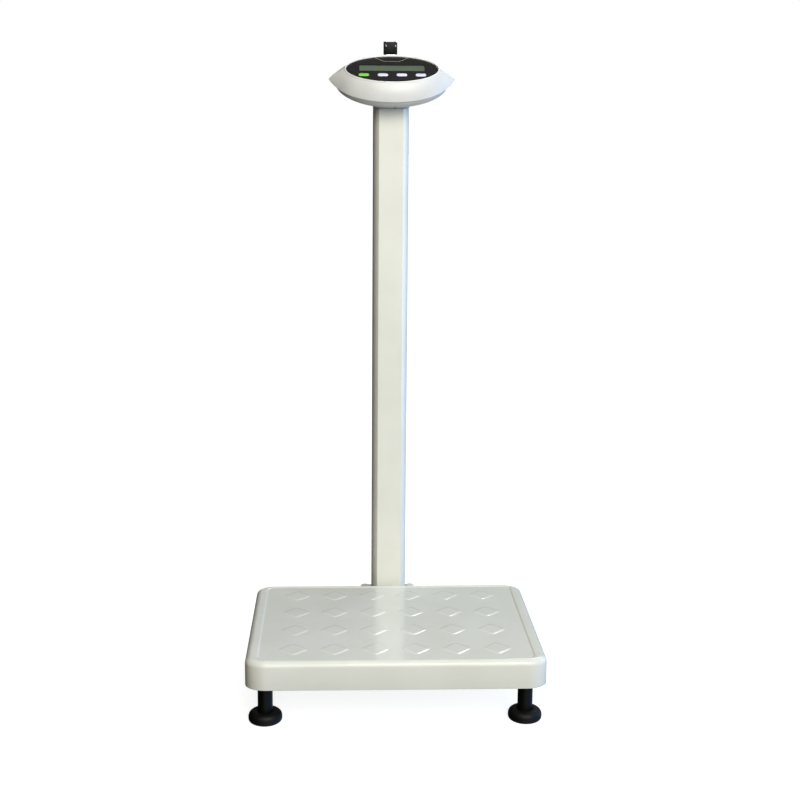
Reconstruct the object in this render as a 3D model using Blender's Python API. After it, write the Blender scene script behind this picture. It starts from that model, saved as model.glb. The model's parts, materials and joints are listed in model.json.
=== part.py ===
"""Column body scale with a digital display head and a telescopic height rod.

Run with: blender --background --python part.py
Metres, +Z up. The front of the scale, where a person steps on, faces -Y.
The origin is on the floor, under the middle of the whole scale.

Four levelling feet carry a tube frame. A load cell on the frame carries a cross-shaped
spider, and the weighing pan lies loose on the spider's four rubber bumpers. A bracket
behind the pan carries the column, the display head and the height rod.
"""

import math

import bmesh
import bpy
from mathutils import Matrix, Vector

MM = 0.001
GAP = 0.0003  # between pieces that touch on the real scale

# Driving dimensions
PAN_W = 0.375
PAN_D = 0.280
PAN_FRONT = -0.180
PAN_BOTTOM = 0.0545
PAN_TOP = 0.091
DEPTH_HALF = 0.180  # the frame's origin is in the middle of the whole depth
COLUMN_W = 0.049
COLUMN_D = 0.040
COLUMN_TO_PAN = 0.0065
HEAD_TILT = math.radians(35)
HEAD_HEIGHT = 0.7965  # middle of the head's parting plane
ROD_TOP = 0.855

# Weighing pan: a pressed tray with a sunk field and raised diamonds
PAN_CORNER = 0.024
PAN_EDGE = 0.008
PAN_WALL = 0.002
PAN_RIM = 0.0035
FIELD_SINK = 0.001
DIAMOND_COLUMNS = 6
DIAMOND_ROWS = 4
DIAMOND_HALF = 0.0178
DIAMOND_SLOPE = 0.0022
DIAMOND_RISE = 0.0009
DIAMOND_MARGIN_X = 0.059
DIAMOND_MARGIN_Y = 0.0435
PAN_MID_Y = PAN_FRONT + PAN_D / 2
PAN_REAR = PAN_FRONT + PAN_D
FIELD_Z = PAN_TOP - FIELD_SINK
CEILING_Z = FIELD_Z - PAN_WALL

# Base frame of square tubes
RAIL_W = 0.025
RAIL_H = 0.022
RAIL_WALL = 0.002
RAIL_X = 0.135
RAIL_Z = 0.052
RAIL_FRONT = PAN_FRONT + 0.015
RAIL_LENGTH = 0.250
CROSS_INSET = 0.030
BEAM_W = 0.060
BEAM_T = 0.004

# Levelling feet
FOOT_X = PAN_W / 2 - 0.0238
FOOT_INSET_Y = 0.035
FOOT_FRONT_Y = PAN_FRONT + FOOT_INSET_Y
FOOT_REAR_Y = PAN_REAR - FOOT_INSET_Y
PAD_R = 0.0213
PAD_H = 0.0140
PAD_EDGE = 0.004
PAD_SOCKET = 0.003
STEM_R = 0.0095
STEM_TOP = 0.058
STUD_R = 0.005
STUD_TOP = 0.081
EAR_Z = 0.064
EAR_T = 0.004
EAR_HALF_Y = 0.020
NUT_R = 0.0098
NUT_H = 0.008

# Load cell and spider
CELL = (0.030, 0.130, 0.020)
SPACER_L = 0.036
SPACER_LOW = 0.005
SPACER_HIGH = 0.003
SPIDER_T = 0.003
SPIDER_ARM = 0.024
SPIDER_X = 0.110
SPIDER_Y = 0.080
BUMPER_R = 0.009
CORNERS = (("front_left", -1, -1), ("front_right", 1, -1), ("rear_left", -1, 1), ("rear_right", 1, 1))

# Column bracket behind the pan
BRACKET_W = 0.060
BRACKET_WALL = 0.003
BRACKET_DROP = 0.024  # from the top of the pan down to the bolting plate
TONGUE_FRONT = 0.010
TONGUE_H = 0.020
FLANGE = (0.078, 0.054, 0.004)
FLANGE_CORNER = 0.005
BOLT_R = 0.003
BOLT_HEAD_R = 0.0058
BOLT_HEAD_H = 0.0012
BOLT_INSET = 0.006
GASKET_T = 0.002
COLUMN_CORNER = 0.008
COLUMN_WALL = 0.002
COLUMN_FRONT = PAN_REAR + COLUMN_TO_PAN
COLUMN_MID_Y = COLUMN_FRONT + COLUMN_D / 2
COLUMN_REAR = COLUMN_FRONT + COLUMN_D
COLUMN_TOP = 0.7625
SPIGOT_H = 0.030
CABLE_HOLE_R = 0.005
CABLE_R = 0.002

# Display head, in its own frame: u to the right, v up the sloping face, w out of it
HEAD_Y = COLUMN_FRONT - 0.002
RIM_A, RIM_B = 0.0770, 0.048
EAR_TIP = 0.0850
EAR_RISE = 0.0045
RIM_W = 0.0008
TOP_W = 0.0215
TOP_A, TOP_B = 0.0632, 0.0325
PANEL_A, PANEL_B = 0.0616, 0.0309
PANEL_T = 0.002
LEDGE = 0.0031
SHELL_T = 0.0022
BOWL_A, BOWL_B, BOWL_C = 0.0760, 0.047, 0.025
WINDOW = (0.088, 0.0152)
WINDOW_V = 0.0036
KEY = (0.0142, 0.0066)
KEY_PITCH = 0.0253
KEY_V = -0.0135
KEY_PROUD = 0.0006
KEY_NAMES = ("key_power", "key_unit", "key_hold", "key_clear")
DOOR = (-0.053, -0.026, 0.023)
NECK_TOP = HEAD_HEIGHT - 0.012

# Height rod
ROD_Y = 0.160
TUBES = (  # name, outside, wall, bottom, top
    ("rod_outer_tube", 0.0220, 0.0012, 0.118, 0.7900),
    ("rod_middle_tube", 0.0186, 0.0011, 0.135, 0.8060),
    ("rod_inner_tube", 0.0154, 0.0010, 0.150, 0.8364),
)
COLLAR_H = 0.008
CAP = (0.0185, 0.020)
CAP_BOTTOM = TUBES[2][4] + GAP
CAP_TOP = ROD_TOP - 0.003
PIN_R = 0.0015
LUG_R = 0.0035
LUG_T = 0.0043
PIVOT_Y = DEPTH_HALF - LUG_R
PIVOT_Z = ROD_TOP - LUG_R
PLATE_T = 0.002
PLATE_REAR = PIVOT_Y - 0.002
PLATE_LENGTH = 0.200
PLATE_NECK_W = 0.0094
PLATE_NECK = 0.0235
PLATE_W = 0.034
PLATE_FLANGE = 0.0065
CLAMP_HEIGHTS = {"rod_clamp_lower": 0.180, "rod_clamp_upper": 0.600}
CLAMP_H = 0.020

# name: (sRGB colour, metallic, roughness)
FINISHES = {
    "ivory_paint": ((0.86, 0.86, 0.81), 0.0, 0.18),
    "grey_paint": ((0.42, 0.43, 0.43), 0.0, 0.45),
    "white_abs": ((0.90, 0.91, 0.89), 0.0, 0.35),
    "black_abs": ((0.05, 0.05, 0.05), 0.0, 0.40),
    "black_rubber": ((0.04, 0.04, 0.04), 0.0, 0.75),
    "panel_film": ((0.16, 0.15, 0.16), 0.0, 0.30),
    "display_glass": ((0.42, 0.47, 0.40), 0.0, 0.08),
    "circuit_green": ((0.05, 0.28, 0.14), 0.0, 0.50),
    "key_green": ((0.45, 0.85, 0.30), 0.0, 0.45),
    "key_white": ((0.88, 0.89, 0.94), 0.0, 0.45),
    "battery_wrap": ((0.20, 0.22, 0.26), 0.0, 0.45),
    "aluminium": ((0.78, 0.79, 0.80), 1.0, 0.32),
    "zinc_steel": ((0.62, 0.63, 0.64), 1.0, 0.35),
}


def finish(name):
    """The Principled material of that name, made once."""
    if name in bpy.data.materials:
        return bpy.data.materials[name]
    colour, metallic, roughness = FINISHES[name]
    material = bpy.data.materials.new(name)
    material.use_nodes = True
    shader = material.node_tree.nodes["Principled BSDF"]
    linear = [c / 12.92 if c <= 0.04045 else ((c + 0.055) / 1.055) ** 2.4 for c in colour]
    shader.inputs["Base Color"].default_value = (*linear, 1)
    shader.inputs["Metallic"].default_value = metallic
    shader.inputs["Roughness"].default_value = roughness
    return material


def make_object(name, bm, material, parent=None, helper=False, at=(0, 0, 0)):
    """An object from bm with its origin moved to at. A helper is a Boolean operand, which isn't rendered."""
    bmesh.ops.recalc_face_normals(bm, faces=bm.faces)
    bmesh.ops.translate(bm, vec=-Vector(at), verts=bm.verts)
    mesh = bpy.data.meshes.new(name)
    bm.to_mesh(mesh)
    bm.free()
    mesh.shade_smooth()
    mesh.set_sharp_from_angle(angle=math.radians(35))
    obj = bpy.data.objects.new(name, mesh)
    bpy.context.scene.collection.objects.link(obj)
    obj.parent = parent
    obj.location = at
    if helper:
        obj.hide_render = True
        obj.display_type = "WIRE"
    else:
        mesh.materials.append(finish(material))
    return obj


def combine(obj, operation, bm, parent=None):
    """A Boolean modifier on obj with a hidden operand made from bm."""
    name = f"{obj.name}_{operation.lower()}_{len(obj.modifiers)}"
    operand = make_object(name, bm, None, parent, helper=True)
    modifier = obj.modifiers.new(operation.title(), "BOOLEAN")
    modifier.operation = operation
    modifier.solver = "EXACT"
    modifier.object = operand


def skin(loops, ring=False):
    """Quads between successive loops of points. A ring joins the last to the first, else both ends are
    capped."""
    bm = bmesh.new()
    rows = [[bm.verts.new(point) for point in loop] for loop in loops]
    count = len(rows[0])
    pairs = list(zip(rows, rows[1:]))
    if ring:
        pairs.append((rows[-1], rows[0]))
    else:
        bm.faces.new(rows[0])
        bm.faces.new(rows[-1])
    for low, high in pairs:
        for i in range(count):
            j = (i + 1) % count
            bm.faces.new((low[i], low[j], high[j], high[i]))
    return bm


def rounded_rect(width, depth, radius, z, x=0.0, y=0.0, steps=6):
    """A loop at height z: four arcs of that radius round (x, y)."""
    points = []
    for quarter, (sx, sy) in enumerate(((1, 1), (-1, 1), (-1, -1), (1, -1))):
        cx = x + sx * (width / 2 - radius)
        cy = y + sy * (depth / 2 - radius)
        for step in range(steps + 1):
            angle = math.pi / 2 * (quarter + step / steps)
            points.append((cx + radius * math.cos(angle), cy + radius * math.sin(angle), z))
    return points


def block(low, high):
    """A plain box between two corners."""
    bm = bmesh.new()
    bmesh.ops.create_cube(bm, size=1)
    size = Vector(high) - Vector(low)
    bmesh.ops.scale(bm, vec=size, verts=bm.verts)
    bmesh.ops.translate(bm, vec=(Vector(high) + Vector(low)) / 2, verts=bm.verts)
    return bm


def soft_block(low, high, bevel, segments=2):
    """A box with all its edges rounded."""
    bm = block(low, high)
    bmesh.ops.bevel(bm, geom=bm.edges[:], offset=bevel, segments=segments, affect="EDGES", profile=0.5)
    return bm


def rounded_prism(width, depth, radius, low, high, x=0.0, y=0.0, steps=6):
    """A rounded rectangle pulled from z low to z high."""
    return skin([rounded_rect(width, depth, radius, z, x, y, steps) for z in (low, high)])


def rounded_tube(width, depth, radius, wall, low, high, x=0.0, y=0.0, steps=6):
    """A rectangular tube along Z with rounded corners, open at both ends."""
    inside = (width - 2 * wall, depth - 2 * wall, max(radius - wall, 0.0004))
    return skin(
        [
            rounded_rect(width, depth, radius, low, x, y, steps),
            rounded_rect(width, depth, radius, high, x, y, steps),
            rounded_rect(*inside, high, x, y, steps),
            rounded_rect(*inside, low, x, y, steps),
        ],
        ring=True,
    )


def rod(start, end, radius, segments=24):
    """A cylinder between two points."""
    bm = bmesh.new()
    axis = Vector(end) - Vector(start)
    bmesh.ops.create_cone(
        bm, cap_ends=True, segments=segments, radius1=radius, radius2=radius, depth=axis.length
    )
    turn = axis.to_track_quat("Z", "Y").to_matrix().to_4x4()
    middle = Matrix.Translation((Vector(start) + Vector(end)) / 2)
    bmesh.ops.transform(bm, matrix=middle @ turn, verts=bm.verts)
    return bm


def turned(profile, x, y, segments=32):
    """A solid turned round the vertical through (x, y). Its profile of (radius, z) starts and ends on the
    axis."""
    bm = bmesh.new()
    verts = [bm.verts.new((x + radius, y, z)) for radius, z in profile]
    edges = [bm.edges.new(pair) for pair in zip(verts, verts[1:])]
    bmesh.ops.spin(
        bm, geom=verts + edges, cent=(x, y, 0), axis=(0, 0, 1), angle=2 * math.pi, steps=segments
    )
    bmesh.ops.remove_doubles(bm, verts=bm.verts, dist=1e-6)
    return bm


def merged(*parts):
    """Several separate closed shapes in one bmesh."""
    whole = bmesh.new()
    for part in parts:
        mesh = bpy.data.meshes.new("merge")
        part.to_mesh(mesh)
        part.free()
        whole.from_mesh(mesh)
        bpy.data.meshes.remove(mesh)
    return whole


def arc(centre, radius, start, end, steps):
    """Points on an arc, as (first, second) pairs, from angle start to angle end in degrees."""
    angles = [math.radians(start + (end - start) * i / steps) for i in range(steps + 1)]
    return [(centre[0] + radius * math.cos(a), centre[1] + radius * math.sin(a)) for a in angles]


# --- Platform -----------------------------------------------------------------


def pan_loop(inset, z):
    """The pan's outline, moved in by inset, at height z."""
    radius = max(PAN_CORNER - inset, 0.004)
    return rounded_rect(PAN_W - 2 * inset, PAN_D - 2 * inset, radius, z, 0, PAN_MID_Y, steps=8)


def diamond_centres():
    """The middles of the raised diamonds, row by row."""
    step_x = (PAN_W - 2 * DIAMOND_MARGIN_X) / (DIAMOND_COLUMNS - 1)
    step_y = (PAN_D - 2 * DIAMOND_MARGIN_Y) / (DIAMOND_ROWS - 1)
    for row in range(DIAMOND_ROWS):
        for column in range(DIAMOND_COLUMNS):
            yield (
                -PAN_W / 2 + DIAMOND_MARGIN_X + column * step_x,
                PAN_FRONT + DIAMOND_MARGIN_Y + row * step_y,
            )


def diamond(x, y):
    """A low pyramid stump on a square that stands on its corner, sunk a little into the sheet."""
    sink = FIELD_Z - PAN_WALL / 2
    levels = (
        (sink, DIAMOND_HALF),
        (FIELD_Z, DIAMOND_HALF),
        (FIELD_Z + DIAMOND_RISE, DIAMOND_HALF - DIAMOND_SLOPE),
    )
    loops = []
    for z, half in levels:
        loops.append([(x + half, y, z), (x, y + half, z), (x - half, y, z), (x, y - half, z)])
    return skin(loops)


def make_pan():
    """The pressed tray. Its section goes down inside, up outside and over the rim to the field."""
    inner = [
        pan_loop(PAN_EDGE, CEILING_Z),
        pan_loop(PAN_WALL, CEILING_Z - PAN_EDGE * 0.7),
        pan_loop(PAN_WALL, PAN_BOTTOM),
    ]
    outer = [pan_loop(0, PAN_BOTTOM)]
    for across, up in arc((PAN_EDGE, PAN_TOP - PAN_EDGE), PAN_EDGE, 180, 90, 5):
        outer.append(pan_loop(across, up))
    rim_end = PAN_EDGE + PAN_RIM
    field = [pan_loop(rim_end, PAN_TOP), pan_loop(rim_end + FIELD_SINK, FIELD_Z)]
    place = (0, PAN_MID_Y, PAN_BOTTOM)
    pan = make_object("weighing_pan", skin(inner + outer + field), "ivory_paint", at=place)
    combine(pan, "UNION", merged(*[diamond(x, y) for x, y in diamond_centres()]))


def make_rail(name, side):
    """A side rail of square tube, with an ear and a welded nut over each foot."""
    x = side * RAIL_X
    mid_y = RAIL_FRONT + RAIL_LENGTH / 2
    bm = rounded_tube(RAIL_W, RAIL_H, 0.003, RAIL_WALL, -RAIL_LENGTH / 2, RAIL_LENGTH / 2, steps=3)
    place = Matrix.Translation((x, mid_y, RAIL_Z + RAIL_H / 2)) @ Matrix.Rotation(math.pi / 2, 4, "X")
    bmesh.ops.transform(bm, matrix=place, verts=bm.verts)
    rail = make_object(name, bm, "grey_paint")
    foot_x = side * FOOT_X
    reach = (side * (RAIL_X + RAIL_W / 2 - RAIL_WALL / 2), foot_x + side * 0.014)
    ears, nuts, holes = [], [], []
    for y in (FOOT_FRONT_Y, FOOT_REAR_Y):
        low = (min(reach), y - EAR_HALF_Y, EAR_Z)
        high = (max(reach), y + EAR_HALF_Y, EAR_Z + EAR_T)
        ears.append(block(low, high))
        sunk = EAR_Z + EAR_T - 0.001
        nuts.append(rod((foot_x, y, sunk), (foot_x, y, sunk + NUT_H), NUT_R, segments=6))
        holes.append(rod((foot_x, y, EAR_Z - 0.01), (foot_x, y, sunk + 0.02), STUD_R + GAP))
    combine(rail, "UNION", merged(*ears))
    combine(rail, "UNION", merged(*nuts))
    combine(rail, "DIFFERENCE", merged(*holes))


def make_cross_tube(name, y):
    """A tube across the frame, between the rails."""
    length = 2 * (RAIL_X - RAIL_W / 2 - GAP)
    bm = rounded_tube(RAIL_H, RAIL_W, 0.003, RAIL_WALL, -length / 2, length / 2, steps=3)
    place = Matrix.Translation((0, y, RAIL_Z + RAIL_H / 2)) @ Matrix.Rotation(math.pi / 2, 4, "Y")
    bmesh.ops.transform(bm, matrix=place, verts=bm.verts)
    make_object(name, bm, "grey_paint")


def make_base():
    make_rail("base_rail_left", -1)
    make_rail("base_rail_right", 1)
    front = RAIL_FRONT + CROSS_INSET
    rear = RAIL_FRONT + RAIL_LENGTH - CROSS_INSET
    make_cross_tube("base_cross_front", front)
    make_cross_tube("base_cross_rear", rear)
    top = RAIL_Z - GAP
    bm = soft_block(
        (-BEAM_W / 2, front - RAIL_W / 2, top - BEAM_T), (BEAM_W / 2, rear + RAIL_W / 2, top), 0.0008, 1
    )
    make_object("load_cell_beam", bm, "grey_paint")


def make_foot(tag, x, y):
    """Rubber pad, nylon stem that turns in the pad, and the steel stud in the frame's nut."""
    socket_z = PAD_H - PAD_SOCKET
    pad = [(0, 0), (PAD_R - PAD_EDGE, 0)]
    pad += arc((PAD_R - PAD_EDGE, PAD_EDGE), PAD_EDGE, -60, 0, 2)
    pad += arc((PAD_R - PAD_EDGE, PAD_H - PAD_EDGE), PAD_EDGE, 0, 90, 3)
    pad += [(STEM_R + GAP, PAD_H), (STEM_R + GAP, socket_z), (0, socket_z)]
    make_object(f"foot_pad_{tag}", turned(pad, x, y, 28), "black_rubber", at=(x, y, 0))
    chamfer = 0.0008
    base = socket_z + GAP
    stem = [(0, base), (STEM_R, base), (STEM_R, STEM_TOP - chamfer)]
    stem += [(STEM_R - chamfer, STEM_TOP), (0, STEM_TOP)]
    make_object(f"foot_stem_{tag}", turned(stem, x, y, 24), "black_abs", at=(x, y, base))
    low = STEM_TOP + GAP
    stud = [(0, low), (STUD_R, low), (STUD_R, STUD_TOP - chamfer)]
    stud += [(STUD_R - chamfer, STUD_TOP), (0, STUD_TOP)]
    make_object(f"foot_stud_{tag}", turned(stud, x, y, 20), "zinc_steel", at=(x, y, low))


def make_load_cell():
    """The cell's rear end stands on the frame's beam, and its front end carries the spider."""
    width, length, height = CELL
    half = length / 2
    low = RAIL_Z + SPACER_LOW
    rear = PAN_MID_Y + half
    front = PAN_MID_Y - half
    spacer = soft_block(
        (-width / 2, rear - SPACER_L, RAIL_Z), (width / 2, rear, low - GAP), 0.0006, 1
    )
    make_object("load_cell_spacer_lower", spacer, "zinc_steel")
    base = low
    top = base + height
    body = soft_block((-width / 2, front, base), (width / 2, rear, top), 0.0006, 1)
    cell = make_object("load_cell", body, "aluminium")
    mid_z = (base + top) / 2
    reach = width / 2 + 0.002
    hole_r = height * 0.36
    spread = 0.020
    for y in (PAN_MID_Y - spread, PAN_MID_Y + spread):
        combine(cell, "DIFFERENCE", rod((-reach, y, mid_z), (reach, y, mid_z), hole_r, 20))
    slot = block((-reach, PAN_MID_Y - spread, mid_z - 0.002), (reach, PAN_MID_Y + spread, mid_z + 0.002))
    combine(cell, "DIFFERENCE", slot)
    spacer = soft_block(
        (-width / 2, front, top + GAP), (width / 2, front + SPACER_L, top + SPACER_HIGH), 0.0006, 1
    )
    make_object("load_cell_spacer_upper", spacer, "zinc_steel")
    return top + SPACER_HIGH + GAP


def spider_outline(z):
    """A diagonal cross: two corners at each arm's end, and a notch between each two arms."""
    reach = math.hypot(SPIDER_X, SPIDER_Y)
    lean = math.atan2(SPIDER_Y, SPIDER_X)
    half = SPIDER_ARM / 2
    notch_x = half / math.sin(lean)
    notch_y = half / math.cos(lean)
    notches = ((notch_x, 0), (0, notch_y), (-notch_x, 0), (0, -notch_y))
    points = []
    for notch, angle in zip(notches, (lean, math.pi - lean, math.pi + lean, -lean)):
        along = Vector((math.cos(angle), math.sin(angle)))
        across = Vector((-along.y, along.x)) * half
        points.append(Vector(notch))
        points.append(along * reach - across)
        points.append(along * reach + across)
    return [(point.x, PAN_MID_Y + point.y, z) for point in points]


def make_spider(low):
    """The cross that lies on the load cell, and the bumper on the end of each arm."""
    top = low + SPIDER_T
    make_object("load_spider", skin([spider_outline(low), spider_outline(top)]), "grey_paint")
    share = 0.93
    for tag, sx, sy in CORNERS:
        base = top + GAP
        cap = CEILING_Z - GAP
        profile = [(0, base), (BUMPER_R, base), (BUMPER_R, cap - 0.001)]
        profile += [(BUMPER_R - 0.001, cap), (0, cap)]
        x = sx * SPIDER_X * share
        y = PAN_MID_Y + sy * SPIDER_Y * share
        make_object(f"pan_bumper_{tag}", turned(profile, x, y, 20), "black_rubber")


# --- Column -------------------------------------------------------------------


def bolt_places():
    """Where the four bolts go through the flange."""
    width, depth, _ = FLANGE
    mid_y = flange_mid_y()
    for sx in (-1, 1):
        for sy in (-1, 1):
            yield sx * (width / 2 - BOLT_INSET), mid_y + sy * (depth / 2 - BOLT_INSET)


def flange_mid_y():
    return PAN_REAR + 0.0035 + FLANGE[1] / 2


def make_bracket():
    """A tongue under the frame and a pedestal behind the pan, welded up hollow, with a bolting plate on
    top."""
    width, depth, plate = FLANGE
    tongue_top = RAIL_Z - 2 * GAP - BEAM_T
    tongue_low = tongue_top - TONGUE_H
    top = PAN_TOP - BRACKET_DROP
    half = BRACKET_W / 2
    front = COLUMN_FRONT - 0.002
    rear = COLUMN_REAR + 0.002
    wall = BRACKET_WALL
    bracket = make_object(
        "column_bracket", block((-half, TONGUE_FRONT, tongue_low), (half, rear, tongue_top)), "grey_paint"
    )
    combine(bracket, "UNION", block((-half, front, tongue_low + wall), (half, rear, top - plate / 2)))
    mid_y = flange_mid_y()
    combine(bracket, "UNION", rounded_prism(width, depth, FLANGE_CORNER, top - plate, top, 0, mid_y, 3))
    inside = half - wall
    combine(
        bracket,
        "DIFFERENCE",
        block((-inside, TONGUE_FRONT - 0.01, tongue_low + wall), (inside, rear - wall, tongue_top - wall)),
    )
    combine(
        bracket,
        "DIFFERENCE",
        block((-inside, front + wall, tongue_low + 1.5 * wall), (inside, rear - wall, top + 0.01)),
    )
    cable_z = tongue_top + 0.0044
    combine(bracket, "DIFFERENCE", rod((0, front - 0.01, cable_z), (0, front + 0.01, cable_z), 0.0036, 16))
    holes = [rod((x, y, top - 0.02), (x, y, top + 0.01), BOLT_R + GAP, 16) for x, y in bolt_places()]
    combine(bracket, "DIFFERENCE", merged(*holes))
    return top + GAP


def make_flange(low):
    """The flange that the column stands on, with a spigot inside the column, and its bolts and gasket."""
    width, depth, plate = FLANGE
    top = low + plate
    mid_y = flange_mid_y()
    flange = make_object(
        "column_flange", rounded_prism(width, depth, FLANGE_CORNER, low, top, 0, mid_y, 3), "ivory_paint"
    )
    fit = COLUMN_WALL + GAP
    spigot = (COLUMN_W - 2 * fit, COLUMN_D - 2 * fit, COLUMN_CORNER - fit)
    combine(flange, "UNION", rounded_prism(*spigot, top - plate / 2, top + SPIGOT_H, 0, COLUMN_MID_Y))
    bore = (spigot[0] - 0.005, spigot[1] - 0.005, spigot[2] - 0.0025)
    combine(flange, "DIFFERENCE", rounded_prism(*bore, low - 0.01, top + SPIGOT_H + 0.01, 0, COLUMN_MID_Y))
    holes = [rod((x, y, low - 0.01), (x, y, top + 0.01), BOLT_R + GAP, 16) for x, y in bolt_places()]
    combine(flange, "DIFFERENCE", merged(*holes))
    for number, (x, y) in enumerate(bolt_places(), 1):
        bolt = make_object(
            f"flange_bolt_{number}",
            rod((x, y, top + GAP), (x, y, top + GAP + BOLT_HEAD_H), BOLT_HEAD_R, 24),
            "ivory_paint",
        )
        combine(bolt, "UNION", rod((x, y, low - 0.008), (x, y, top + 0.002), BOLT_R, 16))
    gasket_low = top + GAP
    gasket_top = gasket_low + GASKET_T
    bm = rounded_tube(
        COLUMN_W, COLUMN_D, COLUMN_CORNER, COLUMN_WALL - GAP / 2, gasket_low, gasket_top, 0, COLUMN_MID_Y
    )
    make_object("column_gasket", bm, "black_rubber")
    return gasket_top + GAP


def make_column(low):
    bm = rounded_tube(COLUMN_W, COLUMN_D, COLUMN_CORNER, COLUMN_WALL, low, COLUMN_TOP, 0, COLUMN_MID_Y)
    make_object("column_tube", bm, "ivory_paint")


def head_matrix():
    """From the head's own u, v, w to the world."""
    return Matrix.Translation((0, HEAD_Y, HEAD_HEIGHT)) @ Matrix.Rotation(HEAD_TILT, 4, "X")


def bowl_loops(a, b, c, steps, last=85):
    """Ellipses from the rim of a half ellipsoid down towards its bottom."""
    loops = []
    for i in range(steps + 1):
        angle = math.radians(last * i / steps)
        loops.append(ellipse(a * math.cos(angle), b * math.cos(angle), -c * math.sin(angle)))
    return loops


def make_neck():
    """The moulded saddle between the column's top and the head's round underside."""
    fit = COLUMN_WALL + GAP
    neck = make_object(
        "column_neck",
        rounded_prism(COLUMN_W, COLUMN_D, COLUMN_CORNER, COLUMN_TOP + GAP, NECK_TOP, 0, COLUMN_MID_Y),
        "white_abs",
    )
    spigot = (COLUMN_W - 2 * fit, COLUMN_D - 2 * fit, COLUMN_CORNER - fit)
    combine(
        neck, "UNION", rounded_prism(*spigot, COLUMN_TOP - SPIGOT_H, COLUMN_TOP + 0.001, 0, COLUMN_MID_Y)
    )
    bore = skin(bowl_loops(BOWL_A + 0.0004, BOWL_B + 0.0004, BOWL_C + 0.0004, 6))
    bmesh.ops.transform(bore, matrix=head_matrix(), verts=bore.verts)
    combine(neck, "DIFFERENCE", bore)
    cable = rod(
        (0, COLUMN_MID_Y, COLUMN_TOP - 2 * SPIGOT_H), (0, COLUMN_MID_Y, NECK_TOP + 0.02), CABLE_HOLE_R
    )
    combine(neck, "DIFFERENCE", cable)


def make_cable(start_z):
    """The load cell's cable, over the rear cross tube, under the pan's edge and up inside the column."""
    cell_rear = PAN_MID_Y + CELL[1] / 2
    cross_rear = RAIL_FRONT + RAIL_LENGTH - CROSS_INSET + RAIL_W / 2
    over = RAIL_Z + RAIL_H + 0.0032
    under = RAIL_Z - 2 * GAP - BEAM_T + 0.0044
    behind = (cross_rear + PAN_REAR - PAN_WALL) / 2
    route = [
        (0, cell_rear + GAP, start_z),
        (0, cell_rear + 0.006, start_z + 0.001),
        (0, cell_rear + 0.016, over),
        (0, cross_rear, over),
        (0, behind, over - 0.010),
        (0, behind + 0.001, under + 0.005),
        (0, PAN_REAR - 0.001, under),
        (0, COLUMN_FRONT - 0.001, under),
        (0, COLUMN_FRONT + 0.006, under + 0.001),
        (0, COLUMN_MID_Y - 0.004, under + 0.010),
        (0, COLUMN_MID_Y, under + 0.030),
        (0, COLUMN_MID_Y, 0.30),
        (0, COLUMN_MID_Y, 0.55),
        (0, COLUMN_MID_Y, COLUMN_TOP),
        (0, COLUMN_MID_Y, HEAD_HEIGHT - 0.008),
    ]
    points = smooth_route([Vector(p) for p in route], 2)
    make_object("load_cell_cable", skin(cord_loops(points, CABLE_R)), "black_rubber")


def cord_loops(points, radius, count=6):
    """Circles round a line that stays in the plane x = 0, square to it."""
    loops = []
    for before, point, after in zip([points[0], *points], points, [*points[1:], points[-1]]):
        along = (after - before).normalized()
        up = Vector((1, 0, 0)).cross(along)
        turns = [2 * math.pi * i / count for i in range(count)]
        loops.append(
            [point + radius * (math.cos(t) * Vector((1, 0, 0)) + math.sin(t) * up) for t in turns]
        )
    return loops


def smooth_route(points, steps):
    """Points on the Catmull-Rom curve through a list of points."""
    line = [points[0], *points, points[-1]]
    smooth = []
    for a, b, c, d in zip(line, line[1:], line[2:], line[3:]):
        for i in range(steps):
            t = i / steps
            smooth.append(
                b
                + (c - a) * t / 2
                + (a - 2.5 * b + 2 * c - d / 2) * t * t
                + (1.5 * b - a / 2 - 1.5 * c + d / 2) * t**3
            )
    return [*smooth, points[-1]]


# --- Display head -------------------------------------------------------------


def ellipse(a, b, w, count=48):
    """A loop with half axes a and b at height w."""
    angles = [2 * math.pi * i / count for i in range(count)]
    return [(a * math.cos(t), b * math.sin(t), w) for t in angles]


def eared_rim(w, rise, count=48):
    """The upper shell's rim: an ellipse whose ends run out along tangents to two points, which lie higher."""
    touch = math.acos(RIM_A / EAR_TIP)
    loop = []
    for i in range(count):
        angle = 2 * math.pi * i / count
        side = 1 if math.cos(angle) >= 0 else -1
        off = math.atan2(math.sin(angle), abs(math.cos(angle)))
        if abs(off) >= touch:
            loop.append((RIM_A * math.cos(angle), RIM_B * math.sin(angle), w))
            continue
        share = 1 - abs(off) / touch
        near = (RIM_A * math.cos(touch), RIM_B * math.sin(touch) * math.copysign(1, off))
        loop.append(
            (side * (near[0] + (EAR_TIP - near[0]) * share), near[1] * (1 - share), w + rise * share)
        )
    return loop


def blend_loops(first, last, share, bulge):
    """The loop that lies share of the way from first to last, pushed up by bulge in the middle."""
    lift = bulge * 4 * share * (1 - share)
    return [tuple(Vector(p).lerp(Vector(q), share) + Vector((0, 0, lift))) for p, q in zip(first, last)]


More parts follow.
